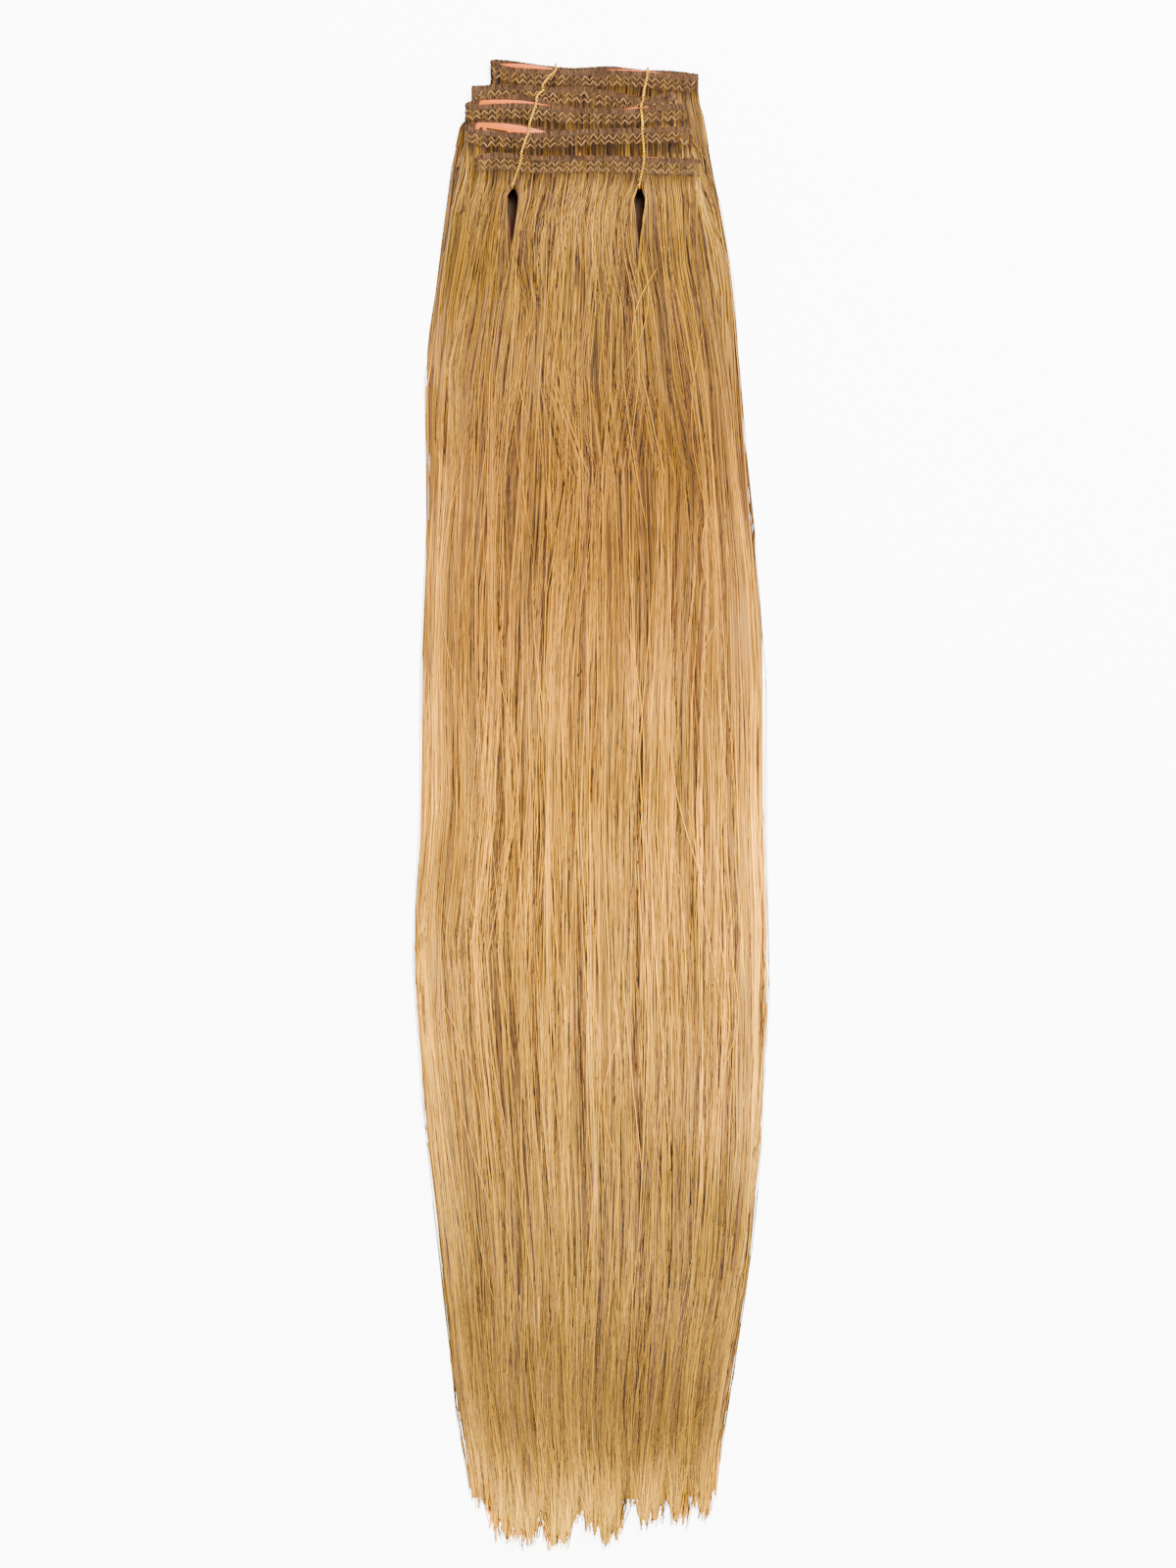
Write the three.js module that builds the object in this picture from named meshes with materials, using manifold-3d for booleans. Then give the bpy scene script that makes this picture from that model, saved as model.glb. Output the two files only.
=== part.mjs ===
// A clip-in hair extension set, as it is sold: five sewn wefts, each folded once
// over its snap clips, stacked like shingles and tied with two gold cords. It lies
// on its back, with the wefts at +Y, the tips at -Y and its face up (+Z).
// All lengths are in millimetres.
import * as THREE from "three";
import { mergeVertices } from "three/addons/utils/BufferGeometryUtils.js";
import Module from "manifold-3d";

const wasm = await Module();
wasm.setup();

// Driving dimensions
const bundleLength = 572; // top edge of the rear weft to the longest tip
const bundleWidth = 137; // across the hair where it is widest
const clearance = 0.3; // left between neighbouring pieces

const plyThickness = 1; // one sewn thickness of weft
const bandHeight = 6.6; // sewn part of a weft, from its top edge to the loose hair
const rowPitch = 8.8; // from one weft's top edge to the next
const weftWidth = 85; // a folded weft, from its fold to its free ends
const headRoll = 0.6; // depth of the rounded top edge of a ply

const clipLength = 31.5;
const clipHeight = 10.5; // top bar to the ends of the teeth
const clipSheet = 0.6;
const clipBow = 1.6; // rise of the arched top bar between its ends
const clipBar = 2.5; // height of the top bar, the part that shows
const clipTongue = 2;
const clipSlot = 0.9; // between the bars and the tongue
const clipEnd = 4.5; // solid stretch at each end of the slots
const clipEyelet = 1.5; // diameter of the sewing hole in each end
const clipTeeth = 5;
const clipTooth = 1.1; // width of one tooth

const tieDiameter = 1.1;
const tieDive = 12.2; // from the front weft's top edge down to where a tie goes through
const tieSteps = 76; // round the whole loop
const tieSides = 6;

const slitLength = 20; // the drop-shaped parting that a tie leaves in the upper wefts' hair
const slitWidth = 3.6;
const slitFrom = 2; // the first weft, counted from 0, that it shows in
const tieHoleLength = 3.6; // the parting in the wefts below, round the tie alone
const tieHoleWidth = 1.9;

const lockCount = 9; // across one weft's hair
const lockCrowding = 1.25; // how much narrower the locks get towards the sides
const lockDepth = 0.45; // of the grooves between locks
const tipNotch = 13; // how far the tips run out beyond the grooves
const tipScatter = 7; // how much neighbouring tips differ in length
const tipThickness = 0.55;
const layerInset = 1.3; // how much narrower on each side each weft's hair is than the one below
const headFlare = 26; // a length over which hair spreads from its weft to the outline
const settleLength = 42; // over which the raised head comes down to the surface
const shoulderLength = 78; // over which the side edges get thin
const shoulderShare = 0.6; // of a layer's thickness that is lost at its side edges

// The wefts from the rear one, which lies lowest, to the front one.
// drop: top edge below the bundle's top end, in row pitches.
// centre: of the band, in weft widths from the bundle's middle. width: in weft widths.
// fold: the side that the fold is on. clipsDeep: clips that lie on each other inside it.
// flare: length of the spread, in head flares. short: how far its tips stop short, in tip notches.
const wefts = [
  { name: "weft_1", drop: 0.39, centre: 0.018, width: 0.94, fold: "left", clipsDeep: 1, flare: 0.6, short: 0 },
  { name: "weft_2", drop: 1.28, centre: -0.077, width: 0.92, fold: "right", clipsDeep: 1, flare: 2.4, short: 0.4 },
  { name: "weft_3", drop: 2.1, centre: -0.064, width: 1.0, fold: "left", clipsDeep: 1, flare: 3.4, short: 0.2 },
  { name: "weft_4", drop: 3.28, centre: -0.051, width: 1.01, fold: "left", clipsDeep: 2, flare: 4.2, short: 0.6 },
  { name: "weft_5", drop: 4.39, centre: -0.009, width: 1.0, fold: "left", clipsDeep: 1, flare: 4.6, short: 0.4 },
];

// How the top edges of each weft's two plies rise and fall along it.
// at: from the left end (-1) to the right end (1). front and back: rise in band heights.
const waves = {
  weft_1: [
    { at: -1, front: 0.34, back: 0.48 },
    { at: -0.8, front: -0.03, back: 0.39 },
    { at: -0.5, front: -0.14, back: 0.12 },
    { at: -0.2, front: -0.23, back: -0.03 },
    { at: 0.15, front: -0.2, back: 0.06 },
    { at: 0.5, front: -0.3, back: -0.17 },
    { at: 0.75, front: -0.45, back: -0.2 },
    { at: 1, front: -0.56, back: -0.39 },
  ],
  weft_2: [
    { at: -1, front: -0.06, back: 0.06 },
    { at: -0.8, front: 0.06, back: 0.11 },
    { at: -0.5, front: 0.06, back: 0.11 },
    { at: -0.2, front: -0.09, back: -0.03 },
    { at: 0.1, front: -0.06, back: 0 },
    { at: 0.5, front: -0.45, back: -0.4 },
    { at: 0.7, front: -0.74, back: -0.6 },
    { at: 1, front: -0.57, back: -0.23 },
  ],
  weft_3: [
    { at: -1, front: -0.06, back: 0.17 },
    { at: -0.8, front: 0, back: 0.43 },
    { at: -0.5, front: 0.06, back: 0.54 },
    { at: -0.2, front: -0.11, back: 0.11 },
    { at: 0.1, front: -0.23, back: -0.2 },
    { at: 0.5, front: -0.26, back: -0.17 },
    { at: 0.8, front: -0.06, back: 0.03 },
    { at: 1, front: -0.06, back: 0.11 },
  ],
  weft_4: [
    { at: -1, front: 0.17, back: 0.4 },
    { at: -0.8, front: -0.03, back: 0.62 },
    { at: -0.5, front: -0.14, back: 0.37 },
    { at: -0.2, front: -0.07, back: 0.09 },
    { at: 0.1, front: 0.08, back: 0.11 },
    { at: 0.5, front: 0.11, back: 0.17 },
    { at: 0.87, front: 0.2, back: 0.26 },
    { at: 1, front: 0.03, back: 0.11 },
  ],
  weft_5: [
    { at: -1, front: 0, back: 0.06 },
    { at: -0.8, front: 0.14, back: 0.2 },
    { at: -0.5, front: -0.06, back: 0 },
    { at: -0.2, front: -0.03, back: 0 },
    { at: 0.1, front: -0.03, back: 0 },
    { at: 0.5, front: -0.11, back: -0.09 },
    { at: 1, front: -0.2, back: -0.17 },
  ],
};

// The outline of the hair. down: share of the bundle's length from its top end.
// left and right: shares of half its width. thin: a layer's thickness there, as a
// share of its weft's.
const outline = [
  { down: 0.02, left: 0.66, right: 0.62, thin: 1 },
  { down: 0.041, left: 0.727, right: 0.649, thin: 1 },
  { down: 0.067, left: 0.776, right: 0.683, thin: 1 },
  { down: 0.093, left: 0.808, right: 0.727, thin: 0.98 },
  { down: 0.146, left: 0.868, right: 0.803, thin: 0.86 },
  { down: 0.199, left: 0.93, right: 0.842, thin: 0.78 },
  { down: 0.277, left: 0.908, right: 0.874, thin: 0.7 },
  { down: 0.382, left: 0.952, right: 0.974, thin: 0.64 },
  { down: 0.487, left: 0.952, right: 0.968, thin: 0.6 },
  { down: 0.592, left: 1, right: 1, thin: 0.56 },
  { down: 0.697, left: 0.946, right: 0.974, thin: 0.5 },
  { down: 0.802, left: 0.846, right: 0.902, thin: 0.4 },
  { down: 0.907, left: 0.749, right: 0.77, thin: 0.26 },
  { down: 0.945, left: 0.685, right: 0.72, thin: 0.2 },
];

// Where the tips end. at: from the left edge (-1) to the right edge (1).
// short: how far they stop short of the longest, in tip notches.
const tipLine = [
  { at: -1, short: 1.7 },
  { at: -0.85, short: 0.6 },
  { at: -0.6, short: 0.05 },
  { at: 0.1, short: 0 },
  { at: 0.35, short: 0.5 },
  { at: 0.75, short: 1.1 },
  { at: 1, short: 1.5 },
];

// The clips. at: middle of the clip along its weft, -1 to 1. peek: how far its top
// bar stands above the weft's top line, in bar heights. tilt: in degrees, clockwise
// when seen from above. depth: 0 against the rear ply, 1 on the next clip's place.
const clips = [
  { weft: 0, side: "left", at: -0.55, peek: 0.22, tilt: 8, depth: 0 },
  { weft: 0, side: "right", at: 0.3, peek: -0.35, tilt: 1, depth: 0 },
  { weft: 1, side: "left", at: -0.55, peek: -0.6, tilt: 0, depth: 0 },
  { weft: 1, side: "right", at: 0.35, peek: -1.5, tilt: 2, depth: 0 },
  { weft: 2, side: "left", at: -0.5, peek: 0.62, tilt: 5.5, depth: 0 },
  { weft: 2, side: "right", at: 0.52, peek: -0.42, tilt: -5, depth: 0 },
  { weft: 3, side: "left", at: -0.55, peek: 0.9, tilt: 9, depth: 0 },
  { weft: 3, side: "left_front", at: -0.27, peek: -0.3, tilt: 13, depth: 1 },
  { weft: 3, side: "right", at: 0.6, peek: -0.3, tilt: 0, depth: 0 },
  { weft: 4, side: "left", at: -0.55, peek: -0.2, tilt: 0, depth: 0 },
  { weft: 4, side: "right", at: 0.55, peek: -0.2, tilt: 0, depth: 0 },
];

// The two ties. crossings: where each crosses the top edges of the wefts in turn,
// and dive: where it goes down through the hair, in weft widths from the middle.
const ties = [
  { name: "tie_left", crossings: [-0.157, -0.214, -0.242, -0.274, -0.31], dive: -0.35 },
  { name: "tie_right", crossings: [0.258, 0.237, 0.228, 0.233, 0.24], dive: 0.22 },
];

const smooth = (t) => {
  const s = THREE.MathUtils.clamp(t, 0, 1);
  return s * s * (3 - 2 * s);
};

// A table's column at a place, eased between its rows.
function read(table, key, column, place) {
  const last = table.length - 1;
  if (place <= table[0][key]) return table[0][column];
  if (place >= table[last][key]) return table[last][column];
  const i = table.findIndex((row) => row[key] > place) - 1;
  const [a, b] = [table[i], table[i + 1]];
  const before = table[Math.max(i - 1, 0)];
  const after = table[Math.min(i + 2, last)];
  const span = b[key] - a[key];
  const slope = (p, q) => (q[column] - p[column]) / Math.max(q[key] - p[key], 1e-9);
  const [m0, m1] = [slope(before, b) * span, slope(a, after) * span];
  const t = (place - a[key]) / span;
  return (
    (2 * t ** 3 - 3 * t ** 2 + 1) * a[column] +
    (t ** 3 - 2 * t ** 2 + t) * m0 +
    (3 * t ** 2 - 2 * t ** 3) * b[column] +
    (t ** 3 - t ** 2) * m1
  );
}

// How far up from the longest tip the notches between the tips can reach
const shortest = (rows) => Math.max(...rows.map((row) => row.short));
const tipReach = (shortest(tipLine) + shortest(wefts) + 1) * tipNotch + 1.2 * tipScatter;

// Sizes of each weft that follow from the table
const topEnd = bundleLength / 2;
const tieRest = (tieDiameter + clearance) / 2; // middle of a tie's rear run above the surface
const lift = tieRest + tieDiameter / 2 + clearance; // the head lies over the ties' rear runs
let level = 0;
for (const weft of wefts) {
  weft.pocket = weft.clipsDeep * (clipSheet + clearance) + clearance;
  weft.thickness = 2 * plyThickness + weft.pocket;
  weft.floor = level;
  level += weft.thickness + clearance;
  weft.topLine = topEnd - weft.drop * rowPitch;
  weft.middle = weft.centre * weftWidth;
  weft.half = (weft.width * weftWidth) / 2;
}
const frontWeft = wefts[wefts.length - 1];
const diveLine = frontWeft.topLine - tieDive;

// Top edge of a weft's front or rear ply at x.
function topEdge(weft, ply, x) {
  const at = (x - weft.middle) / weft.half;
  return weft.topLine + read(waves[weft.name], "at", ply, at) * bandHeight;
}

// A closed solid through rings of points, each a convex section.
function loftRings(rings) {
  const n = rings[0].length;
  const position = rings.flat().flatMap((p) => [p.x, p.y, p.z]);
  const index = [];
  for (let r = 0; r + 1 < rings.length; r++)
    for (let i = 0; i < n; i++) {
      const [a, b] = [r * n + i, r * n + ((i + 1) % n)];
      index.push(a, b, b + n, a, b + n, a + n);
    }
  const last = (rings.length - 1) * n;
  for (let i = 1; i + 1 < n; i++) index.push(0, i + 1, i, last, last + i, last + i + 1);
  return indexed(position, index);
}

// A closed solid between an upper and a lower grid of points, [row][column].
function shellBetween(upper, lower) {
  const [rows, columns] = [upper.length, upper[0].length];
  const position = [...upper.flat(), ...lower.flat()].flatMap((p) => [p.x, p.y, p.z]);
  const index = [];
  const quad = (a, b, c, d) => index.push(a, b, c, a, c, d);
  const up = (r, c) => r * columns + c;
  const down = (r, c) => (rows + r) * columns + c;
  for (let r = 0; r + 1 < rows; r++) {
    for (let c = 0; c + 1 < columns; c++) {
      quad(up(r, c), up(r + 1, c), up(r + 1, c + 1), up(r, c + 1));
      quad(down(r, c), down(r, c + 1), down(r + 1, c + 1), down(r + 1, c));
    }
    quad(up(r, 0), down(r, 0), down(r + 1, 0), up(r + 1, 0));
    const c = columns - 1;
    quad(up(r, c), up(r + 1, c), down(r + 1, c), down(r, c));
  }
  for (let c = 0; c + 1 < columns; c++) {
    quad(up(0, c), up(0, c + 1), down(0, c + 1), down(0, c));
    const r = rows - 1;
    quad(up(r, c), down(r, c), down(r, c + 1), up(r, c + 1));
  }
  return indexed(position, index);
}

function indexed(position, index) {
  const geometry = new THREE.BufferGeometry();
  geometry.setAttribute("position", new THREE.Float32BufferAttribute(position, 3));
  geometry.setIndex(index);
  return geometry;
}

function solidOf(geometry) {
  const bare = geometry.clone();
  bare.deleteAttribute("normal");
  bare.deleteAttribute("uv");
  const merged = mergeVertices(bare, 1e-3);
  return new wasm.Manifold(
    new wasm.Mesh({
      numProp: 3,
      vertProperties: merged.attributes.position.array,
      triVerts: new Uint32Array(merged.index.array),
    }),
  );
}

function geometryOf(solid) {
  const mesh = solid.getMesh();
  return indexed(Array.from(mesh.vertProperties), Array.from(mesh.triVerts));
}

// One weft's sewn band: a strip that runs along the rear ply, round the fold and
// back along the front ply. Its top edge is rolled and its lower edge is thinned.
const plySteps = 10;
const foldSteps = 4;
function bandGeometry(weft) {
  const side = weft.fold === "left" ? -1 : 1;
  const bend = (weft.thickness - plyThickness) / 2;
  const foldX = weft.middle + side * (weft.half - bend - plyThickness / 2);
  const freeX = weft.middle - side * weft.half;
  const axisZ = lift + weft.floor + weft.thickness / 2;
  const stations = [];
  for (let i = 0; i <= plySteps; i++) {
    const x = THREE.MathUtils.lerp(freeX, foldX, i / plySteps);
    stations.push({ x, z: axisZ - bend, nx: 0, nz: 1, y: topEdge(weft, "back", x) });
  }
  for (let i = 1; i < foldSteps; i++) {
    const turn = (i / foldSteps) * Math.PI;
    const [nx, nz] = [-side * Math.sin(turn), Math.cos(turn)];
    const [x, z] = [foldX - nx * bend, axisZ - nz * bend];
    const share = i / foldSteps;
    const y = THREE.MathUtils.lerp(topEdge(weft, "back", x), topEdge(weft, "front", x), share);
    stations.push({ x, z, nx, nz, y });
  }
  for (let i = plySteps; i >= 0; i--) {
    const x = THREE.MathUtils.lerp(freeX, foldX, i / plySteps);
    stations.push({ x, z: axisZ + bend, nx: 0, nz: -1, y: topEdge(weft, "front", x) });
  }
  const half = plyThickness / 2;
  const section = [
    { down: 0, out: -0.5 * half },
    { down: 0, out: 0.5 * half },
    { down: headRoll, out: half },
    { down: bandHeight, out: 0.8 * half },
    { down: bandHeight, out: -0.8 * half },
    { down: headRoll, out: -half },
  ];
  const rings = stations.map(({ x, y, z, nx, nz }) =>
    section.map((p) => new THREE.Vector3(x + nx * p.out, y - p.down, z + nz * p.out)),
  );
  if (side < 0) rings.forEach((ring) => ring.reverse());
  return loftRings(rings);
}

// Left and right edges of one weft's hair at y.
function hairEdges(weft, order, y) {
  const down = (topEnd - y) / bundleLength;
  const inset = order * layerInset;
  const root = weft.topLine - bandHeight;
  const spread = smooth((root - y) / (weft.flare * headFlare));
  const edge = (sign, column) => {
    const full = (read(outline, "down", column, down) * bundleWidth) / 2 - inset;
    return THREE.MathUtils.lerp(weft.middle + sign * weft.half, sign * full, spread);
  };
  return { left: edge(-1, "left"), right: edge(1, "right") };
}

// Thickness of one weft's hair at x and y, before its grooves.
function layerThickness(weft, order, x, y) {
  const down = (topEnd - y) / bundleLength;
  const { left, right } = hairEdges(weft, order, y);
  const across = THREE.MathUtils.clamp((2 * x - left - right) / (right - left), -1, 1);
  const spread = smooth((frontWeft.topLine - bandHeight - y) / shoulderLength);
  const shoulder = 1 - shoulderShare * spread * across ** 4;
  const thin = read(outline, "down", "thin", down);
  return Math.max(weft.thickness * thin * shoulder, tipThickness);
}

// Underside of one weft's hair at x and y: the layers below it, one by one.
function layerFloor(order, x, y) {
  const raised = lift * smooth(1 + (y - diveLine + tieHoleLength) / settleLength);
  return wefts
    .slice(0, order)
    .reduce((z, weft, i) => z + layerThickness(weft, i, x, y) + clearance, raised);
}

// One weft's loose hair, from its sewn band to its tips: locks side by side in one
// sheet, parted where the ties go through, with a pocket for its clips.
function hairGeometry(weft, order) {
  const columns = 2 * lockCount + 1;
  const across = (c) =>
    Math.sin(((2 * c) / (columns - 1) - 1) * lockCrowding) / Math.sin(lockCrowding);
  const near = weftWidth / columns;
  const rootAt = (x) => {
    const edges = [x - near, x, x + near].flatMap((place) => [
      topEdge(weft, "front", place),
      topEdge(weft, "back", place),
    ]);
    return Math.min(...edges) - bandHeight - clearance;
  };
  const highest = weft.topLine - 1.9 * bandHeight;
  const lowest = tipReach - topEnd;
  const levels = outline.map((row) => topEnd - row.down * bundleLength);
  const stations = levels.filter((y) => y < highest && y > lowest);
  const rows = stations.length + 2;
  const upper = [];
  const lower = [];
  for (let r = 0; r < rows; r++) {
    const [top, bottom] = [[], []];
    for (let c = 0; c < columns; c++) {
      const u = across(c);
      const isGroove = c % 2 === 0;
      let y = r === 0 ? weft.topLine - bandHeight : (stations[r - 1] ?? levels[levels.length - 1]);
      const { left, right } = hairEdges(weft, order, y);
      const x = (left + right) / 2 + (u * (right - left)) / 2;
      const floor = layerFloor(order, x, y);
      let thickness = layerThickness(weft, order, x, y);
      if (r === 0) y = rootAt(x);
      if (r > 0 && isGroove) thickness -= Math.min(lockDepth, thickness / 3);
      if (r === rows - 1) {
        const short = read(tipLine, "at", "short", u) + weft.short;
        const scatter = (tipScatter * (1 + Math.sin(2.3 * c + 1.9 * order))) / 2;
        y = -topEnd + short * tipNotch + scatter + (isGroove ? tipNotch : 0);
        thickness = tipThickness;
      }
      top.push(new THREE.Vector3(x, y, floor + thickness));
      bottom.push(new THREE.Vector3(x, y, floor));
    }
    upper.push(top);
    lower.push(bottom);
  }
  let solid = solidOf(shellBetween(upper, lower));
  for (const tie of ties) solid = solid.subtract(partingSolid(tie, order));
  for (const clip of clips.filter((c) => c.weft === order))
    solid = solid.subtract(clipPocket(clip));
  return geometryOf(solid);
}

// The parting round a tie: a long drop-shaped slit in the upper wefts, and just
// room for the cord in the lower ones.
function partingSolid(tie, order) {
  const x = tie.dive * weftWidth;
  const isOpen = order >= slitFrom;
  const [long, wide] = isOpen ? [slitLength, slitWidth] : [tieHoleLength, tieHoleWidth];
  const above = tieHoleLength / 2;
  const shape = new THREE.Shape();
  shape.moveTo(x - wide / 4, diveLine + above);
  shape.lineTo(x - wide / 2, diveLine + above / 2);
  shape.lineTo(x - wide / 2, diveLine - above);
  if (isOpen) shape.lineTo(x, diveLine + above - long);
  shape.lineTo(x + wide / 2, diveLine - above);
  shape.lineTo(x + wide / 2, diveLine + above / 2);
  shape.lineTo(x + wide / 4, diveLine + above);
  const through = 2 * level; // well past both faces
  const prism = new THREE.ExtrudeGeometry(shape, { depth: through, bevelEnabled: false });
  return solidOf(prism.translate(0, 0, -through / 4));
}

// Where a clip lies: the middle of its arched top edge, and its sheet's lower face.
function clipPlace(clip) {
  const weft = wefts[clip.weft];
  return {
    x: weft.middle + clip.at * weft.half,
    y: weft.topLine + clip.peek * clipBar,
    z: lift + weft.floor + plyThickness + clearance + clip.depth * (clipSheet + clearance),
    turn: THREE.MathUtils.degToRad(-clip.tilt),
  };
}

// A clip's outline, with its arched top edge at y = 0 in the middle.
function clipShape() {
  const [half, foot] = [clipLength / 2, -clipHeight];
  const radius = (half * half + clipBow * clipBow) / (2 * clipBow);
  const sweep = Math.asin(half / radius);
  const shape = new THREE.Shape();
  const shoulderY = -clipBow - clipBar / 2;
  const toothRoot = foot + (clipHeight - clipBow - 2 * clipBar - clipTongue - clipSlot);
  shape.moveTo(-half, shoulderY);
  shape.lineTo(-half + clipBar / 3, toothRoot);
  const comb = clipLength - 2 * clipEnd;
  const pitch = (comb - clipTooth) / (clipTeeth - 1);
  for (let i = 0; i < clipTeeth; i++) {
    const x = -comb / 2 + i * pitch;
    shape.lineTo(x, toothRoot);
    shape.lineTo(x + clipTooth / 4, foot);
    shape.lineTo(x + (3 * clipTooth) / 4, foot);
    shape.lineTo(x + clipTooth, toothRoot);
  }
  shape.lineTo(half - clipBar / 3, toothRoot);
  shape.lineTo(half, shoulderY);
  const steps = 6;
  const archShare = 0.97; // the rest is cut off at the corners
  for (let i = 0; i <= steps; i++) {
    const angle = sweep * archShare * (1 - (2 * i) / steps);
    shape.lineTo(radius * Math.sin(angle), radius * Math.cos(angle) - radius);
  }
  const slots = [-clipBow - clipBar / 2, -clipBow - clipBar / 2 - clipSlot - clipTongue];
  for (const top of slots) {
    const slot = new THREE.Path();
    const reach = half - clipEnd;
    slot.moveTo(-reach, top);
    slot.lineTo(reach, top);
    slot.lineTo(reach + clipSlot / 2, top - clipSlot / 2);
    slot.lineTo(reach, top - clipSlot);
    slot.lineTo(-reach, top - clipSlot);
    slot.lineTo(-reach - clipSlot / 2, top - clipSlot / 2);
    slot.closePath();
    shape.holes.push(slot);
  }
  for (const sign of [-1, 1]) {
    const hole = new THREE.Path();
    const x = sign * (half - clipEnd / 2);
    hole.absarc(x, -clipBow - clipBar / 2 - clipEyelet / 2, clipEyelet / 2, 0, 2 * Math.PI);
    shape.holes.push(hole);
  }
  return shape;
}

function clipGeometry() {
  const options = { depth: clipSheet, bevelEnabled: false, curveSegments: 3 };
  return new THREE.ExtrudeGeometry(clipShape(), options);
}

// The room that a clip needs in the loose hair below its weft.
function clipPocket(clip) {
  const place = clipPlace(clip);
  const [wide, high] = [clipLength + 2 * clearance, clipHeight + rowPitch];
  const box = new THREE.BoxGeometry(wide, high, clipSheet + 2 * clearance);
  box.translate(0, high / 2 - clipHeight - clearance, clipSheet / 2);
  box.rotateZ(place.turn);
  box.translate(place.x, place.y, place.z);
  return solidOf(box);
}

// One tie: over the faces of the wefts, down through the hair and back beneath.
function tieGeometry(tie) {
  const radius = tieDiameter / 2;
  const seat = radius + clearance;
  const faceOf = (weft) => lift + weft.floor + weft.thickness + seat;
  const rear = wefts[0];
  const points = [];
  const add = (x, y, z) => points.push(new THREE.Vector3(x, y, z));
  const headX = tie.crossings[0] * weftWidth;
  const headY = Math.max(topEdge(rear, "front", headX), topEdge(rear, "back", headX));
  add(headX, headY + seat, lift + rear.thickness / 2);
  add(headX, headY + seat / 2, faceOf(rear) - seat / 4);
  wefts.forEach((weft, i) => {
    const x = tie.crossings[i] * weftWidth;
    const edge = Math.max(topEdge(weft, "front", x), topEdge(weft, "back", x));
    if (i > 0) add(x, edge + seat / 2, faceOf(weft));
    add(x, edge - bandHeight / 4, faceOf(weft));
    const next = wefts[i + 1];
    if (!next) return;
    const nextX = tie.crossings[i + 1] * weftWidth;
    const nextEdge = Math.max(topEdge(next, "front", nextX), topEdge(next, "back", nextX));
    const half = (edge + nextEdge) / 2;
    const rise = (faceOf(next) - faceOf(weft)) / 4;
    add(THREE.MathUtils.lerp(x, nextX, 0.5), half, faceOf(weft) + rise);
  });
  const diveX = tie.dive * weftWidth;
  const lastX = tie.crossings[wefts.length - 1] * weftWidth;
  const run = frontWeft.topLine - diveLine;
  add(THREE.MathUtils.lerp(lastX, diveX, 0.6), diveLine + 0.4 * run, faceOf(frontWeft));
  add(diveX, diveLine + seat, faceOf(frontWeft));
  add(diveX, diveLine, faceOf(frontWeft) - 2 * seat);
  add(diveX, diveLine, lift + frontWeft.floor / 2);
  add(diveX, diveLine, tieRest + 2 * tieDiameter);
  add(diveX, diveLine + 0.3 * tieDiameter, tieRest + 0.35 * tieDiameter);
  add(diveX, diveLine + 1.3 * tieDiameter, tieRest);
  const rearRun = headY - diveLine;
  for (const share of [0.1, 0.4, 0.7])
    add(THREE.MathUtils.lerp(diveX, headX, share), diveLine + share * rearRun, tieRest);
  add(headX, headY - seat, tieRest);
  add(headX, headY + seat / 2, tieRest + clearance / 2);
  const route = new THREE.CatmullRomCurve3(points, true, "centripetal");
  const tube = new THREE.TubeGeometry(route, tieSteps, radius, tieSides, true);
  return geometryOf(solidOf(tube));
}

const hairMaterial = new THREE.MeshStandardMaterial({ color: 0xb98a4e, roughness: 0.45 });
const bandMaterial = new THREE.MeshStandardMaterial({ color: 0x7a6248, roughness: 0.8 });
const clipMaterial = new THREE.MeshStandardMaterial({
  color: 0xe79a74,
  roughness: 0.35,
  metalness: 0.2,
});
const tieMaterial = new THREE.MeshStandardMaterial({
  color: 0xe8b542,
  roughness: 0.3,
  metalness: 0.9,
});

const extension = new THREE.Group();
function addPiece(parent, name, geometry, material) {
  const mesh = new THREE.Mesh(geometry, material.clone());
  mesh.name = name;
  parent.add(mesh);
  return mesh;
}

wefts.forEach((weft, order) => {
  const assembly = new THREE.Group();
  addPiece(assembly, `${weft.name}_band`, bandGeometry(weft), bandMaterial);
  addPiece(assembly, `${weft.name}_hair`, hairGeometry(weft, order), hairMaterial);
  for (const clip of clips.filter((c) => c.weft === order)) {
    const mesh = addPiece(assembly, `${weft.name}_clip_${clip.side}`, clipGeometry(), clipMaterial);
    const place = clipPlace(clip);
    mesh.position.set(place.x, place.y, place.z);
    mesh.rotation.z = place.turn;
  }
  extension.add(assembly);
});
for (const tie of ties) addPiece(extension, tie.name, tieGeometry(tie), tieMaterial);

// The origin is the middle of the footprint, on the surface that the bundle lies on.
const bounds = new THREE.Box3().setFromObject(extension, true);
const middle = bounds.getCenter(new THREE.Vector3());
extension.position.set(-middle.x, -middle.y, -bounds.min.z);

export default extension;
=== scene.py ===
import math
from collections import namedtuple

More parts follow.
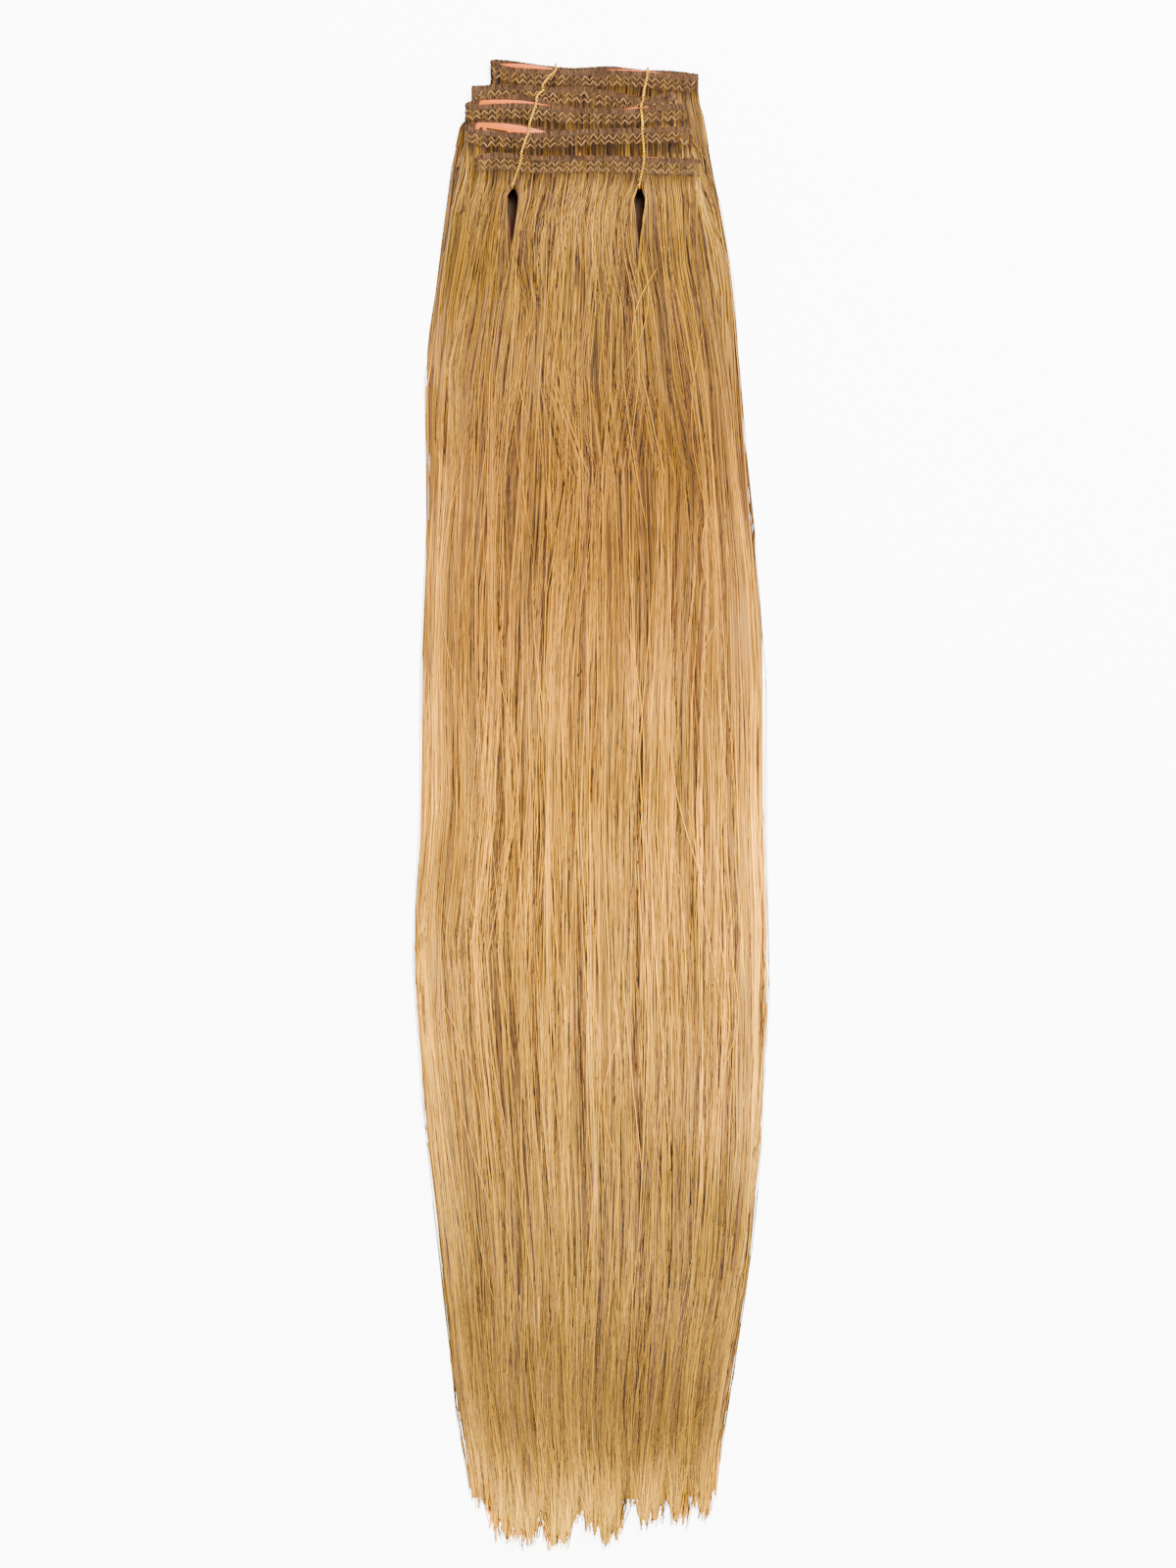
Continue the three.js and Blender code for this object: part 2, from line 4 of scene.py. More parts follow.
import bmesh
import bpy
import numpy as np
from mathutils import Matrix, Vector


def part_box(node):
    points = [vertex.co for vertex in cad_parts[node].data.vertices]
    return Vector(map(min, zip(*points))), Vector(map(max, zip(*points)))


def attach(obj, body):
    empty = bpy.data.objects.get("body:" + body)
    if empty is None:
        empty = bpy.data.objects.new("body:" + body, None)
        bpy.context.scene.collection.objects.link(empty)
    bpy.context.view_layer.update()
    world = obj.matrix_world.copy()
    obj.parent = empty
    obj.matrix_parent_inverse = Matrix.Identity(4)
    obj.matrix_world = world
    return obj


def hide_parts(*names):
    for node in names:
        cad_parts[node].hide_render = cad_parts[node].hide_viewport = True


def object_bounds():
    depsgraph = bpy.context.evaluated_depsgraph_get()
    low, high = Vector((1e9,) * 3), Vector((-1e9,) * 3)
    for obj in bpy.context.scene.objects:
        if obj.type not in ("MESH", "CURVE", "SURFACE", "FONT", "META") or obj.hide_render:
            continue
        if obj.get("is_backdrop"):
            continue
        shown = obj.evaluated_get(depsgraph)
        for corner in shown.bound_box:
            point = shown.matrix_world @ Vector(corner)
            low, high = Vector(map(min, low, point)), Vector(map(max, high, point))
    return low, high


# A set of clip-in hair as it is sold: five sewn wefts, each folded over its snap clips,
# laid like shingles and tied with two gold cords. Lengths are in metres.
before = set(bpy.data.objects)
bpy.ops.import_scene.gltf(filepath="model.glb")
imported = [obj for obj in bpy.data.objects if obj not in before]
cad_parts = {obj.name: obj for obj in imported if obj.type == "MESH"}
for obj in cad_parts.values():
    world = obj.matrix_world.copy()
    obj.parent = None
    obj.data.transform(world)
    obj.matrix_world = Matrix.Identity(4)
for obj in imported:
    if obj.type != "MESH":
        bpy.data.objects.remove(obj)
cad_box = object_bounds()
MM = 0.001

# Sizes of the set, the same as the solids have
BUNDLE_LENGTH = 572 * MM
BUNDLE_WIDTH = 137 * MM
CLEARANCE = 0.3 * MM
PLY = 1 * MM  # one sewn thickness
BAND_HEIGHT = 6.6 * MM
ROW_PITCH = 8.8 * MM
WEFT_WIDTH = 85 * MM
CLIP_SHEET = 0.6 * MM
TIE_DIAMETER = 1.1 * MM
TIE_DIVE = 12.2 * MM
TIP_NOTCH = 13 * MM
TIP_THICKNESS = 0.55 * MM
LAYER_INSET = 1.3 * MM
HEAD_FLARE = 26 * MM
SETTLE_LENGTH = 42 * MM
SHOULDER_LENGTH = 78 * MM
SHOULDER_SHARE = 0.6
SLIT_FROM = 2  # the rearmost weft whose hair is parted by the ties

Weft = namedtuple("Weft", "name drop centre width fold clips_deep flare short")
WEFTS = [
    Weft("weft_1", 0.39, 0.018, 0.94, -1, 1, 0.6, 0),
    Weft("weft_2", 1.28, -0.077, 0.92, 1, 1, 2.4, 0.4),
    Weft("weft_3", 2.1, -0.064, 1.0, -1, 1, 3.4, 0.2),
    Weft("weft_4", 3.28, -0.051, 1.01, -1, 2, 4.2, 0.6),
    Weft("weft_5", 4.39, -0.009, 1.0, -1, 1, 4.6, 0.4),
]

# Rise of the top edges along each weft, in band heights: (at, front ply, rear ply)
WAVES = {
    "weft_1": [
        (-1, 0.34, 0.48), (-0.8, -0.03, 0.39), (-0.5, -0.14, 0.12), (-0.2, -0.23, -0.03),
        (0.15, -0.2, 0.06), (0.5, -0.3, -0.17), (0.75, -0.45, -0.2), (1, -0.56, -0.39),
    ],
    "weft_2": [
        (-1, -0.06, 0.06), (-0.8, 0.06, 0.11), (-0.5, 0.06, 0.11), (-0.2, -0.09, -0.03),
        (0.1, -0.06, 0), (0.5, -0.45, -0.4), (0.7, -0.74, -0.6), (1, -0.57, -0.23),
    ],
    "weft_3": [
        (-1, -0.06, 0.17), (-0.8, 0, 0.43), (-0.5, 0.06, 0.54), (-0.2, -0.11, 0.11),
        (0.1, -0.23, -0.2), (0.5, -0.26, -0.17), (0.8, -0.06, 0.03), (1, -0.06, 0.11),
    ],
    "weft_4": [
        (-1, 0.17, 0.4), (-0.8, -0.03, 0.62), (-0.5, -0.14, 0.37), (-0.2, -0.07, 0.09),
        (0.1, 0.08, 0.11), (0.5, 0.11, 0.17), (0.87, 0.2, 0.26), (1, 0.03, 0.11),
    ],
    "weft_5": [
        (-1, 0, 0.06), (-0.8, 0.14, 0.2), (-0.5, -0.06, 0), (-0.2, -0.03, 0),
        (0.1, -0.03, 0), (0.5, -0.11, -0.09), (1, -0.2, -0.17),
    ],
}
FRONT_PLY, REAR_PLY = 1, 2

# The hair's outline: (share of the length from the top end, left, right, layer's thickness)
OUTLINE = [
    (0.02, 0.66, 0.62, 1), (0.041, 0.727, 0.649, 1), (0.067, 0.776, 0.683, 1),
    (0.093, 0.808, 0.727, 0.98), (0.146, 0.868, 0.803, 0.86), (0.199, 0.93, 0.842, 0.78),
    (0.277, 0.908, 0.874, 0.7), (0.382, 0.952, 0.974, 0.64), (0.487, 0.952, 0.968, 0.6),
    (0.592, 1, 1, 0.56), (0.697, 0.946, 0.974, 0.5), (0.802, 0.846, 0.902, 0.4),
    (0.907, 0.749, 0.77, 0.26), (0.945, 0.685, 0.72, 0.2),
]
LEFT_EDGE, RIGHT_EDGE, THIN = 1, 2, 3

# The locks that the tips gather into: (middle across the hair, how far it stops short)
TIP_LOCKS = np.array(
    [
        (-1, 23.5 * MM), (-0.855, 9.3 * MM), (-0.62, 2.9 * MM), (-0.26, 4.8 * MM),
        (0.05, 3.6 * MM), (0.24, 12.6 * MM), (0.48, 14 * MM), (0.71, 18 * MM), (0.95, 21 * MM),
    ]
)

# Where each tie crosses the wefts' top edges and where it dives, in weft widths
TIES = {
    "tie_left": ([-0.157, -0.214, -0.242, -0.274, -0.31], -0.35),
    "tie_right": ([0.258, 0.237, 0.228, 0.233, 0.24], 0.22),
}

TOP_END = BUNDLE_LENGTH / 2
TIE_REST = (TIE_DIAMETER + CLEARANCE) / 2
LIFT = TIE_REST + TIE_DIAMETER / 2 + CLEARANCE


def smooth(t):
    t = np.clip(t, 0, 1)
    return t * t * (3 - 2 * t)


def mix(a, b, share):
    return a + (b - a) * share


def read(table, column, place):
    """A table's column at a place, eased between its rows."""
    rows = np.array(table, float)
    key, value = rows[:, 0], rows[:, column]
    place = np.clip(np.asarray(place, float), key[0], key[-1])
    i = np.clip(np.searchsorted(key, place, side="right") - 1, 0, len(key) - 2)
    before, after = np.maximum(i - 1, 0), np.minimum(i + 2, len(key) - 1)
    span = key[i + 1] - key[i]
    slope_in = (value[i + 1] - value[before]) / (key[i + 1] - key[before]) * span
    slope_out = (value[after] - value[i]) / (key[after] - key[i]) * span
    t = (place - key[i]) / span
    return (
        (2 * t**3 - 3 * t**2 + 1) * value[i]
        + (t**3 - 2 * t**2 + t) * slope_in
        + (3 * t**2 - 2 * t**3) * value[i + 1]
        + (t**3 - t**2) * slope_out
    )


def weft_sizes():
    """Thickness, floor, top line, middle and half width of each weft."""
    Size = namedtuple("Size", "thickness floor top_line middle half")
    sizes, level = [], 0
    for weft in WEFTS:
        thickness = 2 * PLY + weft.clips_deep * (CLIP_SHEET + CLEARANCE) + CLEARANCE
        top_line = TOP_END - weft.drop * ROW_PITCH
        middle, half = weft.centre * WEFT_WIDTH, weft.width * WEFT_WIDTH / 2
        sizes.append(Size(thickness, level, top_line, middle, half))
        level += thickness + CLEARANCE
    return sizes


SIZES = weft_sizes()
FRONT = len(WEFTS) - 1
DIVE_LINE = SIZES[FRONT].top_line - TIE_DIVE


def top_edge(order, ply, x):
    size = SIZES[order]
    wave = read(WAVES[WEFTS[order].name], ply, (x - size.middle) / size.half)
    return size.top_line + wave * BAND_HEIGHT


# The origin of the solids is the middle of their box, a little off the middle of the length.
rear_edge = [
    top_edge(0, ply, SIZES[0].middle + SIZES[0].half * np.linspace(-1, 1, 41)).max()
    for ply in (FRONT_PLY, REAR_PLY)
]
ORIGIN_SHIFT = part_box("weft_1_band")[1].y - max(rear_edge)


def hair_edges(order, y):
    """Left and right edges of one weft's hair at y."""
    weft, size = WEFTS[order], SIZES[order]
    down = (TOP_END - y) / BUNDLE_LENGTH
    spread = smooth((size.top_line - BAND_HEIGHT - y) / (weft.flare * HEAD_FLARE))
    inset = order * LAYER_INSET
    left = read(OUTLINE, LEFT_EDGE, down) * BUNDLE_WIDTH / 2 - inset
    right = read(OUTLINE, RIGHT_EDGE, down) * BUNDLE_WIDTH / 2 - inset
    return (
        mix(size.middle - size.half, -left, spread),
        mix(size.middle + size.half, right, spread),
    )


def layer_thickness(order, x, y):
    left, right = hair_edges(order, y)
    across = np.clip((2 * x - left - right) / (right - left), -1, 1)
    root = SIZES[FRONT].top_line - BAND_HEIGHT
    shoulder = 1 - SHOULDER_SHARE * smooth((root - y) / SHOULDER_LENGTH) * across**4
    thin = read(OUTLINE, THIN, (TOP_END - y) / BUNDLE_LENGTH)
    return np.maximum(SIZES[order].thickness * thin * shoulder, TIP_THICKNESS)


def layer_floor(order, x, y):
    """Underside of one weft's hair: all the layers below it."""
    floor = LIFT * smooth(1 + (y - DIVE_LINE + 3.6 * MM) / SETTLE_LENGTH)
    for lower in range(order):
        floor = floor + layer_thickness(lower, x, y) + CLEARANCE
    return floor


# Half width of a parting below a tie: (distance below the dive, half width)
PARTING = [
    (-1.4 * MM, 0), (-0.6 * MM, 0.5 * MM), (1 * MM, 1.5 * MM), (3 * MM, 2.2 * MM),
    (6 * MM, 2.25 * MM), (10 * MM, 1.6 * MM), (15 * MM, 0.8 * MM), (21 * MM, 0.25 * MM),
    (28 * MM, 0),
]


def part_round_ties(order, x, y, sides):
    """Moves hair aside from the ties. sides: for each tie, which side of it the hair is on."""
    if order < SLIT_FROM:
        return x
    below = DIVE_LINE - y
    near = smooth((below + 2.6 * MM) / (2.6 * MM)) * smooth((34 * MM - below) / (10 * MM))
    for (_, dive), side in zip(TIES.values(), sides):
        centre = dive * WEFT_WIDTH
        away = np.maximum(side * (x - centre), 0)
        half = read(PARTING, 1, below)
        x = mix(x, centre + side * np.sqrt(away**2 + half**2), near)
    return x


def curve_through(knots, share):
    """One smooth curve per line through its knots, read at shares of its length."""
    last = knots.shape[1] - 1
    place = np.clip(share, 0, 1) * last
    i = np.minimum(place.astype(int), last - 1)
    lines = np.arange(len(knots))[:, None]
    return mix(knots[lines, i], knots[lines, i + 1], smooth(place - i))


def unit(vectors):
    return vectors / np.maximum(np.linalg.norm(vectors, axis=-1, keepdims=True), 1e-12)


def piece_from(name, mesh, material, slot, *nodes):
    """A finished piece of the set, moved to the solids' origin."""
    mesh.name = name
    places = np.empty(len(mesh.vertices) * 3)
    mesh.vertices.foreach_get("co", places)
    places[1::3] += ORIGIN_SHIFT
    mesh.vertices.foreach_set("co", places)
    mesh.update()
    return dress(name, mesh, material, slot, *nodes)


def dress(name, mesh, material, slot, *nodes):
    mesh.materials.clear()
    mesh.materials.append(material)
    piece = bpy.data.objects.new(name, mesh)
    bpy.context.scene.collection.objects.link(piece)
    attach(piece, "root")
    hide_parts(*nodes)
    return piece


TILE_SHAPE = 8  # how much longer than wide a thread's own strip of the map is


def thread_mesh(routes, radii, facing, sides=3, is_loop=False, **marks):
    """Many threads as one closed mesh. routes: (thread, station, xyz). marks: named values
    of the stations, kept with the mesh. Each thread has its own strip of the map."""
    count, stations = routes.shape[:2]
    if is_loop:
        ahead = unit(np.roll(routes, -1, 1) - np.roll(routes, 1, 1))
    else:
        ahead = unit(np.gradient(routes, axis=1))
    side = unit(np.cross(ahead, facing))
    up = np.cross(side, ahead)
    turn = 2 * np.pi * np.arange(sides) / sides + np.pi / 2
    spoke = np.cos(turn)[:, None] * side[:, :, None] + np.sin(turn)[:, None] * up[:, :, None]
    rings = routes[:, :, None] + np.asarray(radii)[..., None, None] * spoke

    thread = np.arange(count)[:, None, None]
    step = np.arange(stations if is_loop else stations - 1)[None, :, None]
    k = np.arange(sides)[None, None, :]
    corner = lambda s, c: (thread * stations + s % stations) * sides + c % sides
    walls = np.stack([corner(step, k), corner(step + 1, k), corner(step + 1, k + 1), corner(step, k + 1)], -1)
    faces = walls.reshape(-1, 4).tolist()

    columns = math.ceil(math.sqrt(count * TILE_SHAPE))
    rows = math.ceil(count / columns)
    tile = np.stack([thread % columns, thread // columns], -1)
    corners = [(0.06, 0), (0.06, 1), (0.94, 1), (0.94, 0)]
    inner = np.stack(
        [
            np.stack(np.broadcast_arrays((k + across) / sides, 0.05 + 0.9 * (step + along) / step.size), -1)
            for across, along in corners
        ],
        -2,
    )
    room = np.array([columns, rows])
    maps = [((tile[..., None, :] + inner) / room).reshape(-1, 2)]
    if not is_loop:
        start = thread[:, 0, 0] * stations * sides
        k = np.arange(sides)
        faces += (start[:, None] + k).tolist()
        faces += (start[:, None] + (stations - 1) * sides + k[::-1]).tolist()
        cap = np.stack([0.1 + 0.8 * k / (sides - 1), 0.01 + 0.03 * (k % 2)], -1)
        for end in (cap, np.array([1, -1]) * cap + np.array([0, 1])):
            maps.append(((tile[:, 0] + end) / room).reshape(-1, 2))
    mesh = bpy.data.meshes.new("threads")
    mesh.from_pydata(rings.reshape(-1, 3), [], faces)
    mesh.uv_layers.new(name="OFBake").data.foreach_set("uv", np.concatenate(maps).ravel())
    for name, values in marks.items():
        kept = np.broadcast_to(np.asarray(values, float), (count, stations))
        layer = mesh.attributes.new(name, "FLOAT", "POINT")
        layer.data.foreach_set("value", np.repeat(kept.ravel(), sides))
    mesh.shade_smooth()
    return mesh


def slab(work, columns, rows, place):
    """A closed slab in a bmesh. place gives points for shares across and along, and for
    which are on its upper face."""
    grid = bmesh.ops.create_grid(work, x_segments=columns, y_segments=rows, size=0.5)
    lower = grid["verts"]
    skin = {face for vert in lower for face in vert.link_faces}
    grown = bmesh.ops.extrude_face_region(work, geom=list(skin))["geom"]
    upper = [part for part in grown if isinstance(part, bmesh.types.BMVert)]
    for verts, is_upper in ((lower, False), (upper, True)):
        shares = np.array([vert.co[:2] for vert in verts]) + 0.5
        for vert, point in zip(verts, place(shares[:, 0], 1 - shares[:, 1], is_upper)):
            vert.co = point


def mesh_of(work):
    bmesh.ops.recalc_face_normals(work, faces=work.faces[:])
    mesh = bpy.data.meshes.new("sheet")
    work.to_mesh(mesh)
    work.free()
    mesh.shade_smooth()
    return mesh


# ---- Finishes ----


def colour(red, green, blue):
    """A colour from screen values of 0 to 255."""
    light = [c / 255 for c in (red, green, blue)]
    return (*[c / 12.92 if c <= 0.04045 else ((c + 0.055) / 1.055) ** 2.4 for c in light], 1)


def wire(tree, socket, value):
    if isinstance(value, bpy.types.NodeSocket):
        tree.links.new(value, socket)
    else:
        socket.default_value = value


def add_node(tree, kind, inputs=(), **settings):
    made = tree.nodes.new(kind)
    for name, value in settings.items():
        setattr(made, name, value)
    for name, value in dict(inputs).items():
        wire(tree, made.inputs[name], value)
    return made


def reckon(tree, operation, a, b=0.0, c=0.0):
    sums = add_node(tree, "ShaderNodeMath", {0: a, 1: b, 2: c}, operation=operation)
    return sums.outputs[0]


def ramp(tree, place, stops):
    """A colour ramp through (position, colour) stops."""
    made = add_node(tree, "ShaderNodeValToRGB", {"Fac": place})
    elements = made.color_ramp.elements
    while len(elements) < len(stops):
        elements.new(1)
    for element, (position, tint) in zip(elements, stops):
        element.position, element.color = position, tint
    return made.outputs["Color"]


def multiply(tree, a, b):
    made = add_node(tree, "ShaderNodeVectorMath", {0: a, 1: b}, operation="MULTIPLY")
    return made.outputs[0]


def fibre_grain():
    """Fine streaks along fibres. They lighten and darken a colour, and give sheen and relief."""
    group = bpy.data.node_groups.new("fibre grain", "ShaderNodeTree")
    for name, kind, value in (
        ("Colour", "NodeSocketColor", (0.5, 0.5, 0.5, 1)),
        ("Strength", "NodeSocketFloat", 0.2),
        ("Streaks", "NodeSocketVector", (1, 1, 1)),
        ("Roughness", "NodeSocketFloat", 0.5),
    ):
        socket = group.interface.new_socket(name, in_out="INPUT", socket_type=kind)
        socket.default_value = value
    for name, kind in (("Colour", "Color"), ("Roughness", "Float"), ("Height", "Float")):
        group.interface.new_socket(name, in_out="OUTPUT", socket_type="NodeSocket" + kind)
    given = group.nodes.new("NodeGroupInput").outputs
    where = add_node(group, "ShaderNodeTexCoord").outputs["Object"]
    stretched = multiply(group, where, given["Streaks"])
    noise = add_node(group, "ShaderNodeTexNoise", {"Vector": stretched, "Scale": 1, "Detail": 3})
    streak = reckon(group, "SUBTRACT", noise.outputs["Fac"], 0.5)
    swing = reckon(group, "MULTIPLY", streak, 4.0)
    shade = reckon(group, "MULTIPLY_ADD", swing, given["Strength"], 1.0)
    lit = add_node(group, "ShaderNodeVectorMath", {0: given["Colour"], "Scale": shade}, operation="SCALE")
    result = group.nodes.new("NodeGroupOutput").inputs
    wire(group, result["Colour"], lit.outputs[0])
    rough = reckon(group, "MULTIPLY_ADD", streak, -0.35, given["Roughness"])
    wire(group, result["Roughness"], rough)
    wire(group, result["Height"], noise.outputs["Fac"])
    return group


FIBRE_GRAIN = fibre_grain()


def finish_of(name, **settings):
    """A new finish: its node tree and its shader, whose own sockets take the settings."""
    material = bpy.data.materials.new(name)
    material.use_nodes = True
    tree = material.node_tree
    shader = tree.nodes["Principled BSDF"]
    for socket, value in settings.items():
        shader.inputs[socket.replace("_", " ")].default_value = value
    return material, tree, shader


def lay_grain(tree, shader, tint, strength, streaks, roughness, relief):
    """Puts the fibre grain between a colour and the shader."""
    grain = add_node(
        tree,
        "ShaderNodeGroup",
        {},
        node_tree=FIBRE_GRAIN,
    )
    for name, value in (
        ("Colour", tint),
        ("Strength", strength),
        ("Streaks", streaks),
        ("Roughness", roughness),
    ):
        wire(tree, grain.inputs[name], value)
    bump = add_node(
        tree,
        "ShaderNodeBump",
        {"Height": grain.outputs["Height"], "Distance": relief, "Strength": 0.6},
    )
    wire(tree, shader.inputs["Base Color"], grain.outputs["Colour"])
    wire(tree, shader.inputs["Roughness"], grain.outputs["Roughness"])
    wire(tree, shader.inputs["Normal"], bump.outputs["Normal"])


# Tones of the strands, from the darkest to the palest
STRAND_TONES = [
    (0, colour(56, 40, 28)), (0.15, colour(110, 66, 43)), (0.27, colour(104, 86, 55)),
    (0.38, colour(150, 100, 62)), (0.5, colour(156, 120, 64)), (0.62, colour(188, 129, 50)),
    (0.74, colour(202, 148, 46)), (0.86, colour(236, 167, 34)), (1, colour(255, 184, 48)),
]

# How much the hair is lightened, darkened and tinted along its length, from the tips (0) to the wefts (1)
LENGTH_TINTS = [
    (0, (1.0, 1.2, 0.8, 1)), (0.035, (0.7, 0.77, 0.86, 1)), (0.087, (0.46, 0.49, 0.78, 1)),
    (0.14, (0.51, 0.55, 0.84, 1)), (0.218, (0.65, 0.71, 1.08, 1)), (0.349, (1.03, 1.05, 1.1, 1)),
    (0.48, (1.1, 1.08, 0.86, 1)), (0.611, (0.83, 0.78, 0.8, 1)), (0.736, (0.53, 0.5, 0.66, 1)),
    (0.808, (0.6, 0.6, 0.86, 1)), (0.86, (0.58, 0.6, 0.84, 1)), (0.92, (0.51, 0.55, 0.92, 1)),
    (1, (0.46, 0.49, 0.9, 1)),
]


def hair_finish(name, strength, streaks, relief):
    material, tree, shader = finish_of(name, Specular_IOR_Level=0.06)
    shader.inputs["Specular Tint"].default_value = (1, 0.7, 0.3, 1)
    tone = add_node(tree, "ShaderNodeAttribute", attribute_name="tone").outputs["Fac"]
    # The shade mark carries the strands' painted light and shade.
    shade = add_node(tree, "ShaderNodeAttribute", attribute_name="shade").outputs["Fac"]
    where = add_node(tree, "ShaderNodeTexCoord").outputs["Object"]
    along = add_node(tree, "ShaderNodeSeparateXYZ", {"Vector": where}).outputs["Y"]
    share = reckon(tree, "MULTIPLY_ADD", along, 1 / BUNDLE_LENGTH, 0.5)
    tint = multiply(tree, ramp(tree, tone, STRAND_TONES), ramp(tree, share, LENGTH_TINTS))
    patch = add_node(tree, "ShaderNodeTexNoise", {"Vector": where, "Scale": 22, "Detail": 1})
    patchy = reckon(tree, "MULTIPLY_ADD", patch.outputs["Fac"], 0.8, 0.6)
    shade = reckon(tree, "MULTIPLY", shade, patchy)
    shaded = add_node(tree, "ShaderNodeVectorMath", {0: tint, "Scale": shade}, operation="SCALE")
    lay_grain(tree, shader, shaded.outputs[0], strength, streaks, 0.42, relief)
    return material


def thread_finish(name, dark, light, strength, streaks, roughness, relief):
    """Thread or sewn fibre, from dark to light by the tone that its piece carries."""
    material, tree, shader = finish_of(name, Specular_IOR_Level=0.1)
    tone = add_node(tree, "ShaderNodeAttribute", attribute_name="tone").outputs["Fac"]
    tint = ramp(tree, tone, [(0, dark), (1, light)])
    lay_grain(tree, shader, tint, strength, streaks, roughness, relief)
    return material


def gold_finish():
    material, tree, shader = finish_of("gold twist", Metallic=0.85, Specular_IOR_Level=0.8)
    tone = add_node(tree, "ShaderNodeAttribute", attribute_name="tone").outputs["Fac"]
    # The tone carries the painted glints of the twist, from dark gold to light.
    tint = ramp(tree, tone, [(0, colour(160, 86, 8)), (1, colour(255, 206, 62))])
    lay_grain(tree, shader, tint, 0.3, (2600, 900, 2600), 0.22, 0.05 * MM)
    return material


def enamel_finish():
    material, tree, shader = finish_of("peach enamel", Specular_IOR_Level=0.12, Coat_Weight=0.03)
    where = add_node(tree, "ShaderNodeTexCoord").outputs["Object"]
    cloud = add_node(tree, "ShaderNodeTexNoise", {"Vector": where, "Scale": 350, "Detail": 4})
    stops = [(0.3, colour(190, 84, 6)), (0.7, colour(204, 94, 8))]
    tint = ramp(tree, cloud.outputs["Fac"], stops)
    lay_grain(tree, shader, tint, 0.05, (900, 900, 900), 0.36, 0.02 * MM)
    return material


STRAND_STREAKS = (2200, 55, 2200)
hair_strands = hair_finish("golden strands", 0.22, STRAND_STREAKS, 0.05 * MM)
hair_bed = hair_finish("hair beneath the strands", 0.3, (2800, 30, 2800), 0.4 * MM)
sewn_hair = thread_finish(
    "sewn hair", colour(36, 24, 14), colour(90, 63, 36), 0.5, (2600, 160, 2600), 0.6, 0.3 * MM
)
overcast_thread = thread_finish(
    "mauve overcast", colour(50, 33, 22), colour(112, 78, 50), 0.3, (2400, 2400, 2400), 0.7, 0.1 * MM
)
zigzag_thread = thread_finish(
    "tan zigzag", colour(92, 64, 36), colour(168, 124, 72), 0.2, (2400, 2400, 2400), 0.6, 0.1 * MM
)
gold_twist = gold_finish()
peach_enamel = enamel_finish()


# ---- Loose hair ----

STRAND_RADIUS = 0.18 * MM
LEAN = 6 * MM  # how far the ties draw the hair aside, just below the wefts
FLOW = 4 * MM  # how far the hair sways as a whole, below the wefts
CROSSING = 2 * MM  # how far a wisp wanders from its neighbours by the tips
WISPS = 340  # across one weft's hair; the strands of a wisp share some tone and depth
# Stations down a whole strand, dense at the band and near the ties, and fewer for
# the strands of the wefts behind
ROOT_LINE = 1.8 * MM  # below a band's top edge; the overcast thread covers the hair above it
FACE_STATIONS = np.array(
    [0, 2.5, 6, 10, 15, 21, 29, 40, 58, 86, 124, 168, 214, 262, 310, 358, 404, 446, 484, 512, 536.0]
)
BACK_STATIONS = np.array([0, 3, 7, 13, 23, 40, 70, 115, 170, 230, 290, 350, 408, 460, 505, 536.0])


def wisp_of(u):
    return np.clip(((u[:, 0] + 1) / 2 * WISPS).astype(int), 0, WISPS - 1)


def wisp_depths(rng, u):
    """How deep each strand lies, from 0 at the face."""
    shared = rng.beta(1.0, 1.6, WISPS)[wisp_of(u)][:, None]
    return np.clip(0.4 * shared + 0.3 * rng.beta(1, 1.6, u.shape), 0, 1)


def sway(rng, u, down):
    """A slow wave that neighbouring strands share, from -1 to 1 or so."""
    columns, rows = 6, 11
    knots = rng.normal(0, 1, (rows, columns))
    place = (u[:, 0] + 1) / 2 * (columns - 1)
    i = np.clip(place.astype(int), 0, columns - 2)
    return curve_through(mix(knots[:, i], knots[:, i + 1], smooth(place - i)).T, down)


